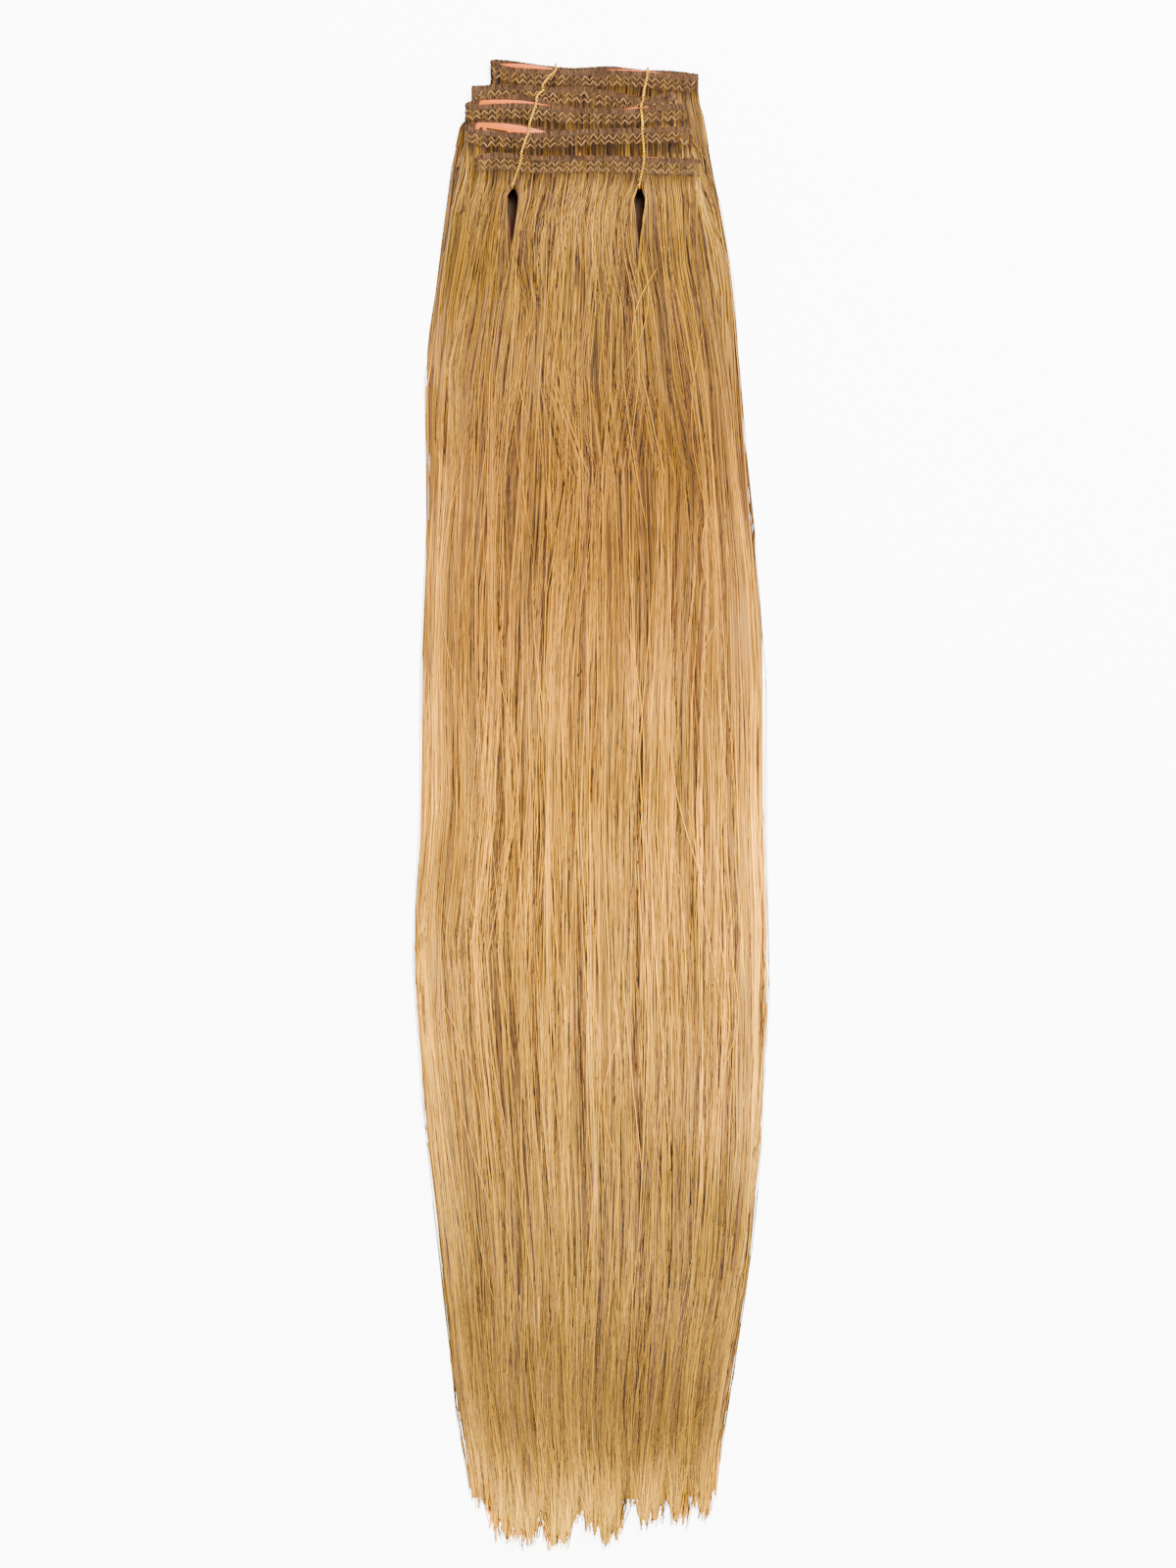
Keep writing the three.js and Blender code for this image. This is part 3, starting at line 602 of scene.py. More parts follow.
def comb(order, rng, u, y, depth, clumps, face=1):
    """Lays strands in one weft's hair. u: across it, -1 to 1. y: of each station.
    depth: 0 at the face to 1. face: 1 in front, -1 beneath. Gives x, z, how far each
    station is on the band, and how near the face it lies, 0 to 1."""
    size = SIZES[order]
    left, right = hair_edges(order, y)
    down = (TOP_END - y) / BUNDLE_LENGTH
    count = len(u)
    clump = np.clip(((u[:, 0] + 1) / 2 * clumps + rng.normal(0, 0.25, count)).astype(int), 0, clumps - 1)
    centre = ((np.arange(clumps) + rng.uniform(0.2, 0.8, clumps)) / clumps * 2 - 1)[clump][:, None]
    closing = curve_through(rng.uniform(0, 1, (clumps, 9))[clump], down)
    across = u + (centre - u) * (0.05 + 0.2 * closing * smooth(down / 0.2))
    x = (left + right) / 2 + across * (right - left) / 2
    free = smooth((size.top_line - BAND_HEIGHT - y) / (60 * MM))
    x = x + curve_through(rng.normal(0, 1, (clumps, 9))[clump], down) * 0.8 * MM * free * (1 + down)
    x = x + curve_through(rng.normal(0, 1, (count, 11)), down) * 0.3 * MM * free * (1 + 3 * down**2)
    wisp = wisp_of(u)
    x = x + curve_through(rng.normal(0, 1, (WISPS, 5))[wisp], down) * CROSSING * free * (0.4 + down)
    x = x + sway(rng, u, down) * FLOW * free * mix(1, 0.3, smooth((down - 0.25) / 0.35))
    point, tip_end = bunch_of(order, u)
    taper = rng.uniform(0.75, 1, (count, 1)) * smooth(1 - (y - tip_end) / TAPER)
    x = mix(x, (left + right) / 2 + point * (right - left) / 2, taper)
    drawn = smooth((size.top_line - BAND_HEIGHT + 4 * MM - y) / (rng.uniform(20, 42, (count, 1)) * MM))
    aside = mix(1, -0.5, smooth((u - 0.35) / 0.25)) * (1 - u**4) * (order == FRONT)
    x = x + LEAN * rng.uniform(0.5, 1.3, (count, 1)) * (1 - drawn) * aside
    stray = rng.uniform(0, 1, (count, 1)) * smooth((np.abs(u) - 0.7) / 0.3)
    full_left, full_right = hair_edges(0, y)
    whole = np.where(u < 0, full_left, full_right)
    loose_side = stray * smooth((size.top_line - BAND_HEIGHT - y) / (30 * MM))
    ragged = 1 - 0.04 * curve_through(rng.uniform(0, 1, (count, 12)), down)
    x = mix(x, whole * np.abs(u) * ragged, loose_side)
    beyond = np.maximum(x - right, left - x)
    slack = rng.uniform(-1.8, 0.9, (count, 1)) * MM
    x = np.clip(x, full_left - slack, full_right + slack)
    if order >= SLIT_FROM:
        at_slit = np.abs(y - (DIVE_LINE - 6 * MM)).argmin(1)
        x_there = x[np.arange(count), at_slit]
        sides = [np.where(x_there > dive * WEFT_WIDTH, 1, -1)[:, None] for _, dive in TIES.values()]
        x = part_round_ties(order, x, y, sides)
    thickness = layer_thickness(order, x, y)
    floor = layer_floor(order, x, y)
    weave = curve_through(rng.normal(0, 1, (WISPS, 17))[wisp], down) * 0.16
    weave = weave + curve_through(rng.normal(0, 1, (count, 23)), down) * 0.16
    level = np.clip(1 - depth - np.abs(weave), 0, 1)
    rise = level if face > 0 else 1 - level
    loose = floor + STRAND_RADIUS + (thickness - 2 * STRAND_RADIUS) * rise
    loose = loose - 0.8 * smooth(beyond / (6 * MM)) * (floor - layer_floor(0, x, y))
    edge = top_edge(order, FRONT_PLY if face > 0 else REAR_PLY, x)
    on_band = smooth((y - edge + BAND_HEIGHT + 2.5 * MM) / (3 * MM))
    ply_face = LIFT + size.floor + (size.thickness if face > 0 else 0)
    sewn = ply_face + face * (0.1 * MM - depth * 0.35 * MM)
    z = mix(loose, sewn, on_band)
    return x, np.maximum(z, STRAND_RADIUS), on_band, level


def strand_tones(rng, clump_count, u, depth):
    count = len(u)
    clump = np.clip(((u[:, 0] + 1) / 2 * clump_count).astype(int), 0, clump_count - 1)
    tone = 0.66 + 0.26 * rng.normal(0, 1, count) + 0.06 * rng.normal(0, 1, clump_count)[clump]
    # Deeper strands get a darker tone, as painted shade.
    tone = tone + 0.16 * rng.normal(0, 1, WISPS)[wisp_of(u)] - 0.2 * depth[:, 0]
    # Strands near the sides get a paler tone, as painted rim light.
    tone = tone + 0.08 * smooth((np.abs(u[:, 0]) - 0.85) / 0.15)
    tone = tone - 0.34 * (rng.uniform(0, 1, count) > 0.86)
    return np.clip(tone, 0, 1)[:, None]


def strand_mesh(order, rng, u, y, depth, radius, clumps, face=1):
    """One mesh of strands, a little thicker at their tips."""
    x, z, on_band, level = comb(order, rng, u, y, depth, clumps, face)
    routes = np.stack([x, y, z], -1)
    down = (TOP_END - y) / BUNDLE_LENGTH
    thin = mix(1, 1.1, smooth((down - 0.93) / 0.04))
    radii = radius * thin * mix(1, 0.7, on_band)
    # Painted light: the last 5 mm of each tip strand are made paler and brighter, a painted glow through the
    # thin ends.
    painted_tip_glow = smooth(1 - (y - y[:, -1:]) / (5 * MM)) * (down > 0.9)
    varied = 0.62 + (strand_tones(rng, clumps, u, depth) - 0.62) * mix(1, 1.4, smooth((down - 0.35) / 0.3))
    tone = np.clip(varied - 0.2 * on_band + 0.22 * painted_tip_glow, 0, 1)
    # Painted highlights: one strand in ten is made brighter as a painted glint.
    painted_glint = mix(1, 1.45, rng.uniform(0, 1, u.shape) > 0.9)
    # Painted rim light: strands near the sides are brighter and less darkened by depth.
    painted_rim_light = smooth((np.abs(u) - 0.86) / 0.14) * smooth((down - 0.02) / 0.05)
    # Painted sheen: slow lighter and darker stretches along each wisp.
    sheen = 1 + 0.08 * curve_through(rng.normal(0, 1, (WISPS, 13))[wisp_of(u)], down)
    # Painted shade by depth: strands deep in the layer are darkened and those at the face brightened, less so
    # near the tips. The shade is also halved on the band.
    dark = mix(0.12, 0.6, smooth((down - 0.95) / 0.03))
    dark = mix(dark, 0.5, painted_rim_light)
    shade = mix(1, 0.5, on_band) * mix(dark, 1.22, level**1.6) * sheen * (1 + 0.15 * painted_rim_light) * painted_glint
    # Painted shade on the right of the hair, a little below the wefts.
    right_painted_shade = smooth((u - 0.1) / 0.5) * smooth((down - 0.08) / 0.06) * smooth((0.36 - down) / 0.1)
    shade = shade * (1 - 0.22 * right_painted_shade) * mix(1, 2.3, painted_tip_glow)
    return thread_mesh(routes, radii, np.array([0, 0, 1]), tone=tone, shade=shade)


TIP_GAP = 15 * MM  # how much farther up the tips end between two locks
TUFT_GAP = 9 * MM  # and between two tufts
TIP_FRAY = 3.6 * MM
TAPER = 22 * MM  # over which a bunch of strands runs out in a point
TUFTS = 17
BUNCHES = 150


def tip_lock(u):
    """The middle of the tip lock that each place across the hair belongs to, how far
    towards the lock's side it is, 0 to 1, and how far the lock stops short."""
    middles, shorts = TIP_LOCKS.T
    borders = (middles[1:] + middles[:-1]) / 2
    lock = np.searchsorted(borders, u)
    reach = np.concatenate([[-1.1], borders, [1.1]])
    half = np.where(u > middles[lock], reach[lock + 1] - middles[lock], middles[lock] - reach[lock])
    return middles[lock], np.clip(np.abs(u - middles[lock]) / half, 0, 1), shorts[lock]


def shaken_places(rng, count):
    return ((np.arange(count) + rng.uniform(0.15, 0.85, count)) / count) * 2 - 1


def tip_bunches():
    """Middle, point and end of each fine bunch at the tips. The locks split into tufts,
    and the tufts into bunches."""
    rng = np.random.default_rng(8)
    middles = shaken_places(rng, TUFTS)
    lock, aside, short = tip_lock(middles)
    tuft_points = mix(middles, lock, rng.uniform(0.1, 0.4, TUFTS))
    tuft_ends = -TOP_END + short + TIP_GAP * aside**1.6 + rng.uniform(-20, -13, TUFTS) * MM
    bunches = shaken_places(rng, BUNCHES)
    tuft = np.searchsorted((middles[1:] + middles[:-1]) / 2, bunches)
    off = np.clip(np.abs(bunches - middles[tuft]) * TUFTS, 0, 1)
    points = mix(bunches, tuft_points[tuft], rng.uniform(0.1, 0.4, BUNCHES))
    ends = tuft_ends[tuft] + TUFT_GAP * off**1.5 + rng.gamma(1.6, 5 * MM, BUNCHES)
    return bunches, points, np.maximum(ends, -TOP_END - 1 * MM)


BUNCH_MIDDLES, BUNCH_POINTS, BUNCH_ENDS = tip_bunches()


def bunch_of(order, u):
    """The point that a place's bunch runs out in, and where the bunch ends."""
    bunch = np.searchsorted((BUNCH_MIDDLES[1:] + BUNCH_MIDDLES[:-1]) / 2, u)
    return BUNCH_POINTS[bunch], BUNCH_ENDS[bunch] + 0.4 * WEFTS[order].short * TIP_NOTCH


def tip_ends(order, rng, u):
    """Where each strand ends: bunch by bunch, and frayed."""
    return bunch_of(order, u)[1] + np.minimum(rng.gamma(1.3, TIP_FRAY, u.shape), 5 * TIP_FRAY)


def full_strands(order, rng, u, clumps, stations, face=1):
    """Whole strands from the band to the tips."""
    count = len(u)
    ends = tip_ends(order, rng, u)
    x_root = SIZES[order].middle + u * SIZES[order].half
    start = top_edge(order, FRONT_PLY if face > 0 else REAR_PLY, x_root) - ROOT_LINE
    shares = stations / stations[-1]
    y = start + (ends - start) * shares[None, :]
    depth = wisp_depths(rng, u)
    radius = STRAND_RADIUS * rng.uniform(0.6, 1.25, (count, 1))
    return strand_mesh(order, rng, u, y, depth, radius, clumps, face)


def part_strands(order, rng, u, clumps, start, end, stations):
    """Strands over one stretch of their length, where only that shows."""
    count = len(u)
    shares = np.linspace(0, 1, stations)[None, :] ** 1.2
    y = start + (end - start) * shares
    depth = wisp_depths(rng, u)
    radius = STRAND_RADIUS * rng.uniform(0.6, 1.25, (count, 1))
    return strand_mesh(order, rng, u, y, depth, radius, clumps)


def joined(meshes):
    """One mesh of several, with their map and marks."""
    work = bmesh.new()
    for mesh in meshes:
        work.from_mesh(mesh)
        bpy.data.meshes.remove(mesh)
    whole = bpy.data.meshes.new("strands")
    work.to_mesh(whole)
    work.free()
    whole.shade_smooth()
    return whole


def spread(rng, count, low=-1.0, high=1.0):
    """Even places across the hair, each shaken a little."""
    step = (high - low) / count
    return (low + (np.arange(count) + rng.uniform(0, 1, count)) * step)[:, None]


BED_END = 62 * MM - TOP_END  # only strands go on from here to the tips


def bed_mesh(order):
    """The mass of hair that the strands lie on: sheets that meet below the ties."""
    work = bmesh.new()
    size = SIZES[order]
    cuts = [-1, 1]
    if order >= SLIT_FROM:
        left, right = hair_edges(order, DIVE_LINE - 6 * MM)
        dives = [dive * WEFT_WIDTH for _, dive in TIES.values()]
        cuts = [-1] + [(2 * x - left - right) / (right - left) for x in dives] + [1]
    for number, (low, high) in enumerate(zip(cuts, cuts[1:])):
        sides = [1 if number > tie else -1 for tie in range(2)]

        def place(across, along, is_upper):
            u = mix(low, high, across)
            x_root = size.middle + u * size.half
            start = np.minimum(top_edge(order, FRONT_PLY, x_root), top_edge(order, REAR_PLY, x_root))
            start = start - BAND_HEIGHT + 0.5 * MM
            y = mix(start, BED_END, along**1.25)
            left, right = hair_edges(order, y)
            x = (left + right) / 2 + 0.985 * u * (right - left) / 2
            x = part_round_ties(order, x, y, sides)
            thickness = layer_thickness(order, x, y) * mix(0.55, 0.2, smooth((along - 0.85) / 0.15))
            ridge = 0.1 * np.sin(u * 60 + 5 * np.sin(y * 14)) * thickness
            z = layer_floor(order, x, y) + (thickness + ridge if is_upper else 0.02 * MM)
            return np.stack([x, y, z + 0 * x], -1)

        slab(work, 44 if len(cuts) == 2 else 20, 56, place)
    mesh = mesh_of(work)
    places = np.array([vert.co for vert in mesh.vertices])
    left, right = hair_edges(order, places[:, 1])
    # Painted shade and light: the bed is kept dark as painted shade beneath the strands, and made paler and
    # brighter towards its sides as painted side light.
    side = smooth((np.abs(2 * places[:, 0] - left - right) / (right - left) - 0.75) / 0.2)
    tone = mesh.attributes.new("tone", "FLOAT", "POINT")
    tone.data.foreach_set("value", 0.2 + 0.08 * np.sin(places[:, 0] * 1900) + 0.35 * side)
    shade = mesh.attributes.new("shade", "FLOAT", "POINT")
    shade.data.foreach_set("value", 0.75 + 0.3 * side)
    return mesh


CLUMPS = 64
FLYAWAYS = 80


def flyaways(rng):
    """Fine pale hairs that cross the face, and some along its sides."""
    stations = 14
    share = np.linspace(0, 1, stations)[None, :]
    middle = rng.uniform(0.13, 0.9, (FLYAWAYS, 1))
    long = rng.uniform(0.05, 0.2, (FLYAWAYS, 1))
    down = np.clip(middle + (share - 0.5) * long, 0.1, 0.95)
    y = TOP_END - down * BUNDLE_LENGTH
    left, right = hair_edges(FRONT, y)
    u = rng.uniform(-1, 1, (FLYAWAYS, 1))
    slant = rng.normal(0, 6, (FLYAWAYS, 1)) * MM
    bow = rng.normal(0, 2.5, (FLYAWAYS, 1)) * MM
    x = (left + right) / 2 + u * (right - left) / 2
    x = x + (share - 0.5) * slant + np.sin(np.pi * share) * bow
    x = np.clip(x, left - 1.5 * MM, right + 1.5 * MM)
    top = layer_floor(FRONT, x, y) + layer_thickness(FRONT, x, y)
    z = top + (0.15 + 0.5 * np.sin(np.pi * share) * rng.uniform(0.3, 1, (FLYAWAYS, 1))) * MM
    radii = rng.uniform(0.1, 0.15, (FLYAWAYS, 1)) * MM * mix(1, 0.4, np.abs(2 * share - 1) ** 4)
    tone = rng.uniform(0.8, 1, (FLYAWAYS, 1))
    # The shade mark brightens the flyaways half again, as painted light.
    return thread_mesh(np.stack([x, y, z], -1), radii, np.array([0, 0, 1]), tone=tone, shade=1.5)


def loose_hair():
    for order, weft in enumerate(WEFTS):
        node = f"{weft.name}_hair"
        rng = np.random.default_rng(10 + order)
        piece_from(f"{weft.name}_bed", bed_mesh(order), hair_bed, "hair", node)
        if order == FRONT:
            for layer, count in (("lower", 1350), ("upper", 1350)):
                strands = full_strands(order, rng, spread(rng, count), CLUMPS, FACE_STATIONS)
                piece_from(f"{weft.name}_{layer}_strands", strands, hair_strands, "hair", node)
            u = spread(rng, 1100)
            ends = tip_ends(order, rng, u)
            fringe = part_strands(order, rng, u, CLUMPS, ends + 80 * MM, ends, 8)
            piece_from(f"{weft.name}_fringe", fringe, hair_strands, "hair", node)
            piece_from(f"{weft.name}_flyaways", flyaways(rng), hair_strands, "hair", node)
            continue
        roots_end = SIZES[order].top_line - BAND_HEIGHT - 24 * MM
        u = spread(rng, 620)
        start = top_edge(order, FRONT_PLY, SIZES[order].middle + u * SIZES[order].half) - ROOT_LINE
        roots = part_strands(order, rng, u, CLUMPS, start, roots_end, 6)
        left_side = full_strands(order, rng, spread(rng, 120, -1, -0.7), CLUMPS, BACK_STATIONS)
        right_side = full_strands(order, rng, spread(rng, 120, 0.7, 1), CLUMPS, BACK_STATIONS)
        u = spread(rng, 360)
        ends = tip_ends(order, rng, u)
        tips = part_strands(order, rng, u, CLUMPS, ends + 110 * MM, ends, 8)
        groups = [roots, left_side, right_side, tips]
        if order == 0:
            groups.append(full_strands(order, rng, spread(rng, 420), CLUMPS, BACK_STATIONS, face=-1))
        piece_from(f"{weft.name}_strands", joined(groups), hair_strands, "hair", node)


# ---- Sewn bands ----

RING_PITCH = 0.72 * MM
RING_HALF = 0.95 * MM  # half the height of an overcast stitch
RING_RADIUS = 0.27 * MM
ZIGZAG_PITCH = 3 * MM
ZIGZAG_ROWS = ((1.9 * MM, 3.8 * MM), (4.0 * MM, 5.9 * MM))
ZIGZAG_RADIUS = 0.18 * MM


def strip(order, share):
    """The middle of a folded band at shares of its strip, from the rear free end round the
    fold to the front one: x, z, inward facing (x, z), and its top edge."""
    weft, size = WEFTS[order], SIZES[order]
    bend = (size.thickness - PLY) / 2
    fold_x = size.middle + weft.fold * (size.half - bend - PLY / 2)
    free_x = size.middle - weft.fold * size.half
    axis_z = LIFT + size.floor + size.thickness / 2
    run, arc = abs(fold_x - free_x), math.pi * bend
    place = share * (2 * run + arc)
    turn = np.clip((place - run) / arc, 0, 1) * math.pi
    ahead = np.minimum(place, run) - np.maximum(place - run - arc, 0)
    nx, nz = -weft.fold * np.sin(turn), np.cos(turn)
    x = free_x + weft.fold * ahead - nx * bend
    front, rear = top_edge(order, FRONT_PLY, x), top_edge(order, REAR_PLY, x)
    edge = mix(rear, front, turn / math.pi)
    return x, axis_z - nz * bend, nx, nz, edge


def strip_length(order):
    size = SIZES[order]
    bend = (size.thickness - PLY) / 2
    return 2 * (2 * size.half - bend - PLY / 2) + math.pi * bend


def on_strip(order, share, down, out, shift=0.0):
    """Points on a band: down from its top edge, out from its middle, shifted along it."""
    x, z, nx, nz, edge = strip(order, share)
    fold = WEFTS[order].fold
    return np.stack(
        np.broadcast_arrays(x - nx * out + fold * nz * shift, edge - down, z - nz * out - fold * nx * shift),
        -1,
    )


def band_mesh(order):
    work = bmesh.new()

    def place(across, along, is_upper):
        down = BAND_HEIGHT * along
        rolled = mix(0.35, 1, smooth(along / 0.12)) * mix(1, 0.7, smooth((along - 0.8) / 0.2))
        out = (0.5 if is_upper else -0.5) * PLY * rolled
        return on_strip(order, across, down, out)

    slab(work, 150, 8, place)
    mesh = mesh_of(work)
    rng = np.random.default_rng(30 + order)
    tone = mesh.attributes.new("tone", "FLOAT", "POINT")
    tone.data.foreach_set("value", rng.uniform(0.2, 0.7, len(mesh.vertices)))
    return mesh


def overcast_mesh(order):
    """Slanted stitches wrapped round the band's top edge."""
    rng = np.random.default_rng(40 + order)
    count = int(strip_length(order) / RING_PITCH)
    share = ((np.arange(count) + 0.5 + rng.uniform(-0.2, 0.2, count)) / count)[:, None]
    turn = np.linspace(0, 2 * math.pi, 8, endpoint=False)[None, :]
    tall = RING_HALF * rng.uniform(0.85, 1.1, (count, 1))
    down = 0.72 * MM - tall * np.sin(turn)
    out = (0.5 * PLY + 0.12 * MM) * np.cos(turn)
    routes = on_strip(order, share, down, out, 0.3 * MM * np.cos(turn))
    x, _, nx, nz, _ = strip(order, share)
    fold = WEFTS[order].fold
    facing = np.stack(np.broadcast_arrays(fold * nz, 0 * x, -fold * nx), -1)
    radii = RING_RADIUS * rng.uniform(0.8, 1.15, (count, 1)) * np.ones((1, 8))
    return thread_mesh(routes, radii, facing, is_loop=True, tone=rng.uniform(0, 1, (count, 1)))


def zigzag_mesh(order):
    """Two rows of zigzag stitches on the outer face, leg by leg."""
    rng = np.random.default_rng(50 + order)
    meshes = []
    for top, bottom in ZIGZAG_ROWS:
        count = int(strip_length(order) / (ZIGZAG_PITCH / 2))
        holes = (np.arange(count + 1) + rng.uniform(-0.12, 0.12, count + 1)) / (count + 1)
        share = np.linspace(holes[:-1], holes[1:], 5, axis=1)
        highs = np.where(np.arange(count + 1) % 2 == 0, top, bottom) + rng.normal(0, 0.18 * MM, count + 1)
        down = np.linspace(highs[:-1], highs[1:], 5, axis=1)
        rise = np.array([0.0, 0.3, 0.38, 0.3, 0.0]) * MM
        routes = on_strip(order, share, down, 0.5 * PLY + rise[None, :])
        x, _, nx, nz, _ = strip(order, share)
        facing = np.stack([-nx, 0 * nx, -nz], -1)
        radii = ZIGZAG_RADIUS * rng.uniform(0.85, 1.2, (count, 1)) * np.ones((1, 5))
        meshes.append(thread_mesh(routes, radii, facing, sides=4, tone=rng.uniform(0, 1, (count, 1))))
    return joined(meshes)


def sewn_bands():
    for order, weft in enumerate(WEFTS):
        node = f"{weft.name}_band"
        piece_from(f"{weft.name}_plies", band_mesh(order), sewn_hair, "band", node)
        piece_from(f"{weft.name}_overcast", overcast_mesh(order), overcast_thread, "band", node)
        piece_from(f"{weft.name}_zigzag", zigzag_mesh(order), zigzag_thread, "band", node)


# ---- Clips ----


def snap_clips():
    """The clips' plates with rounded edges."""
    for node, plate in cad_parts.items():
        if "_clip_" not in node:
            continue
        work = bmesh.new()
        work.from_mesh(plate.data)
        bmesh.ops.remove_doubles(work, verts=work.verts[:], dist=0.005 * MM)
        bmesh.ops.dissolve_limit(work, angle_limit=math.radians(2), verts=work.verts[:], edges=work.edges[:])
        sharp = [edge for edge in work.edges if edge.calc_face_angle(0) > math.radians(50)]
        bmesh.ops.bevel(
            work, geom=sharp, offset=0.16 * MM, segments=2, affect="EDGES", profile=0.5, material=-1,
            clamp_overlap=True,
        )
        mesh = mesh_of(work)
        dress(f"{node}_plate", mesh, peach_enamel, "clip", node)


# ---- Ties ----

TWIST_PITCH = 2.3 * MM
TIE_STRAND = 0.27 * MM


def tie_points(name):
    """The points that a tie's loop runs through."""
    crossings, dive = TIES[name]
    seat = TIE_DIAMETER / 2 + CLEARANCE
    face = [LIFT + size.floor + size.thickness + seat for size in SIZES]
    xs = [c * WEFT_WIDTH for c in crossings]
    edges = [max(float(top_edge(i, ply, x)) for ply in (FRONT_PLY, REAR_PLY)) for i, x in enumerate(xs)]
    head_x, head_y, dive_x = xs[0], edges[0], dive * WEFT_WIDTH
    points = [
        (head_x, head_y + seat, LIFT + SIZES[0].thickness / 2),
        (head_x, head_y + seat / 2, face[0] - seat / 4),
    ]
    for i, (x, edge) in enumerate(zip(xs, edges)):
        if i > 0:
            points.append((x, edge + seat / 2, face[i]))
        points.append((x, edge - BAND_HEIGHT / 4, face[i]))
        if i < FRONT:
            rise = (face[i + 1] - face[i]) / 4
            points.append(((x + xs[i + 1]) / 2, (edge + edges[i + 1]) / 2, face[i] + rise))
    run = TIE_DIVE
    points += [
        (mix(xs[FRONT], dive_x, 0.6), DIVE_LINE + 0.4 * run, face[FRONT]),
        (dive_x, DIVE_LINE + seat, face[FRONT]),
        (dive_x, DIVE_LINE, face[FRONT] - 2 * seat),
        (dive_x, DIVE_LINE, LIFT + SIZES[FRONT].floor / 2),
        (dive_x, DIVE_LINE, TIE_REST + 2 * TIE_DIAMETER),
        (dive_x, DIVE_LINE + 0.3 * TIE_DIAMETER, TIE_REST + 0.35 * TIE_DIAMETER),
        (dive_x, DIVE_LINE + 1.3 * TIE_DIAMETER, TIE_REST),
    ]
    for share in (0.1, 0.4, 0.7):
        y = mix(DIVE_LINE, head_y, share)
        points.append((mix(dive_x, head_x, share), y, TIE_REST))
    points += [
        (head_x, head_y - seat, TIE_REST),
        (head_x, head_y + seat / 2, TIE_REST + CLEARANCE / 2),
    ]
    return np.array(points)


def smooth_loop(points, steps):
    """A closed centripetal Catmull-Rom curve, at even steps along it."""
    n = len(points)
    fine = []
    for i in range(n):
        p0, p1, p2, p3 = (points[(i + k) % n] for k in (-1, 0, 1, 2))
        d0, d1, d2 = (math.sqrt(np.linalg.norm(b - a)) for a, b in ((p0, p1), (p1, p2), (p2, p3)))
        m1 = ((p1 - p0) / d0 - (p2 - p0) / (d0 + d1) + (p2 - p1) / d1) * d1
        m2 = ((p2 - p1) / d1 - (p3 - p1) / (d1 + d2) + (p3 - p2) / d2) * d1
        t = np.linspace(0, 1, 40, endpoint=False)[:, None]
        fine.append(
            (2 * t**3 - 3 * t**2 + 1) * p1 + (t**3 - 2 * t**2 + t) * m1
            + (3 * t**2 - 2 * t**3) * p2 + (t**3 - t**2) * m2
        )
    line = np.concatenate(fine + [points[:1]])
    travel = np.concatenate([[0], np.cumsum(np.linalg.norm(np.diff(line, axis=0), axis=1))])
    even = np.linspace(0, travel[-1], steps, endpoint=False)
    return np.stack([np.interp(even, travel, line[:, axis]) for axis in range(3)], -1), travel[-1]


def twisted_ties():
    """Each tie: two gold yarns twisted round each other."""
    for name in TIES:
        steps = 640
        middle, length = smooth_loop(tie_points(name), steps)
        ahead = unit(np.roll(middle, -1, 0) - np.roll(middle, 1, 0))
        side = unit(np.cross(ahead, [1, 0, 0]))
        across = np.cross(side, ahead)
        turns = round(length / TWIST_PITCH)
        angle = 2 * math.pi * turns * np.arange(steps) / steps
        yarns = []
        for start in (0, math.pi):
            a = (angle + start)[:, None]
            yarns.append(middle + TIE_STRAND * (np.cos(a) * side + np.sin(a) * across))
        routes = np.stack(yarns)
        # Painted glints: the tone rises and falls round the twist, lighting and darkening the gold.
        painted_glint = 0.5 + 0.5 * np.sin(angle * 3.7)[None, :] * np.ones((2, 1))
        radii = np.full((2, steps), TIE_STRAND)
        mesh = thread_mesh(routes, radii, np.array([1, 0, 0]), sides=5, is_loop=True, tone=painted_glint)
        piece_from(f"{name}_twist", mesh, gold_twist, "tie", name)


# ---- Studio ----

VIEW_MIDDLE = Vector((-0.94 * MM, 7.5 * MM, 9 * MM))
VIEW_HEIGHT = 600 * MM  # of the floor that the picture takes in
LENS, FILM = 180, 36
FLOOR_SEEN, FLOOR_GLOW = 7.5, 2  # how bright the table looks, and how much it lights the hair


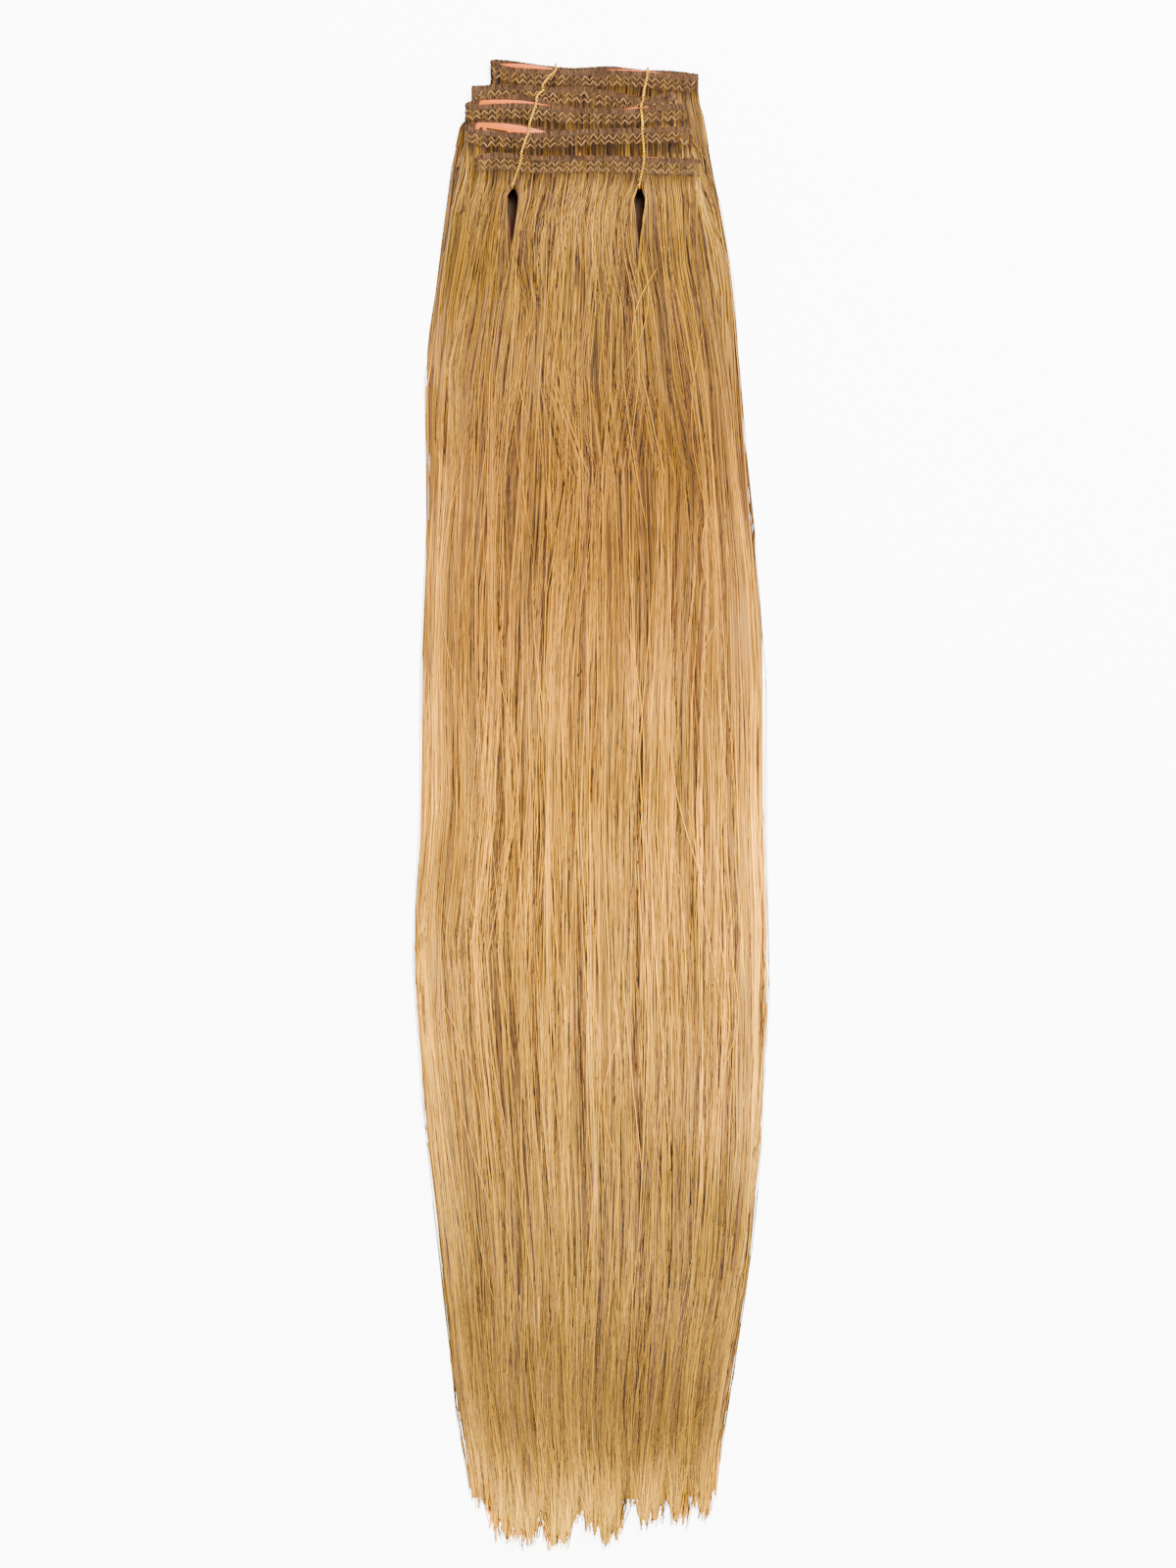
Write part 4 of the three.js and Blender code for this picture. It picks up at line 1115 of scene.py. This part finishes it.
def studio():
    bpy.ops.mesh.primitive_plane_add(size=6)
    floor = bpy.context.object
    floor.name = "pale_table"
    material, tree, shader = finish_of("pale table")
    cloud = add_node(tree, "ShaderNodeTexNoise", {"Scale": 3})
    tint = ramp(tree, cloud.outputs["Fac"], [(0.3, (0.93, 0.93, 0.93, 1)), (0.7, (0.95, 0.95, 0.95, 1))])
    wire(tree, shader.inputs["Base Color"], tint)
    shader.inputs["Roughness"].default_value = 0.9
    shader.inputs["Emission Color"].default_value = (1, 1, 1, 1)
    seen = add_node(tree, "ShaderNodeLightPath").outputs["Is Camera Ray"]
    glow = reckon(tree, "MULTIPLY_ADD", seen, FLOOR_SEEN - FLOOR_GLOW, FLOOR_GLOW)
    wire(tree, shader.inputs["Emission Strength"], glow)
    floor.data.materials.append(material)
    floor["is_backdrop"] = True

    camera_data = bpy.data.cameras.new("camera")
    camera_data.lens, camera_data.sensor_width = LENS, FILM
    camera = bpy.data.objects.new("camera", camera_data)
    camera.location = VIEW_MIDDLE + Vector((0, 0, VIEW_HEIGHT * LENS / FILM))
    bpy.context.scene.collection.objects.link(camera)
    bpy.context.scene.camera = camera

    world = bpy.data.worlds.new("soft room")
    world.use_nodes = True
    world.node_tree.nodes["Background"].inputs["Color"].default_value = (1, 1, 1, 1)
    world.node_tree.nodes["Background"].inputs["Strength"].default_value = 0.62
    bpy.context.scene.world = world
    for name, place, size, power in (
        ("key", (0.4, 0.8, 1.7), 0.8, 132),
        ("left edge light", (-1.6, 0.1, 0.5), 0.8, 13),
        ("right edge light", (1.6, 0.0, 0.5), 0.8, 29),
    ):
        light = bpy.data.lights.new(name, "AREA")
        light.size, light.energy = size, power
        lamp = bpy.data.objects.new(name, light)
        lamp.location = place
        lamp.rotation_euler = Vector(place).to_track_quat("Z", "Y").to_euler()
        bpy.context.scene.collection.objects.link(lamp)


loose_hair()
sewn_bands()
snap_clips()
twisted_ties()
studio()

seen_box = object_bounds()
boxes = {"cad": cad_box, "visual": seen_box}
{name: [list(map(float, corner)) for corner in box] for name, box in boxes.items()}
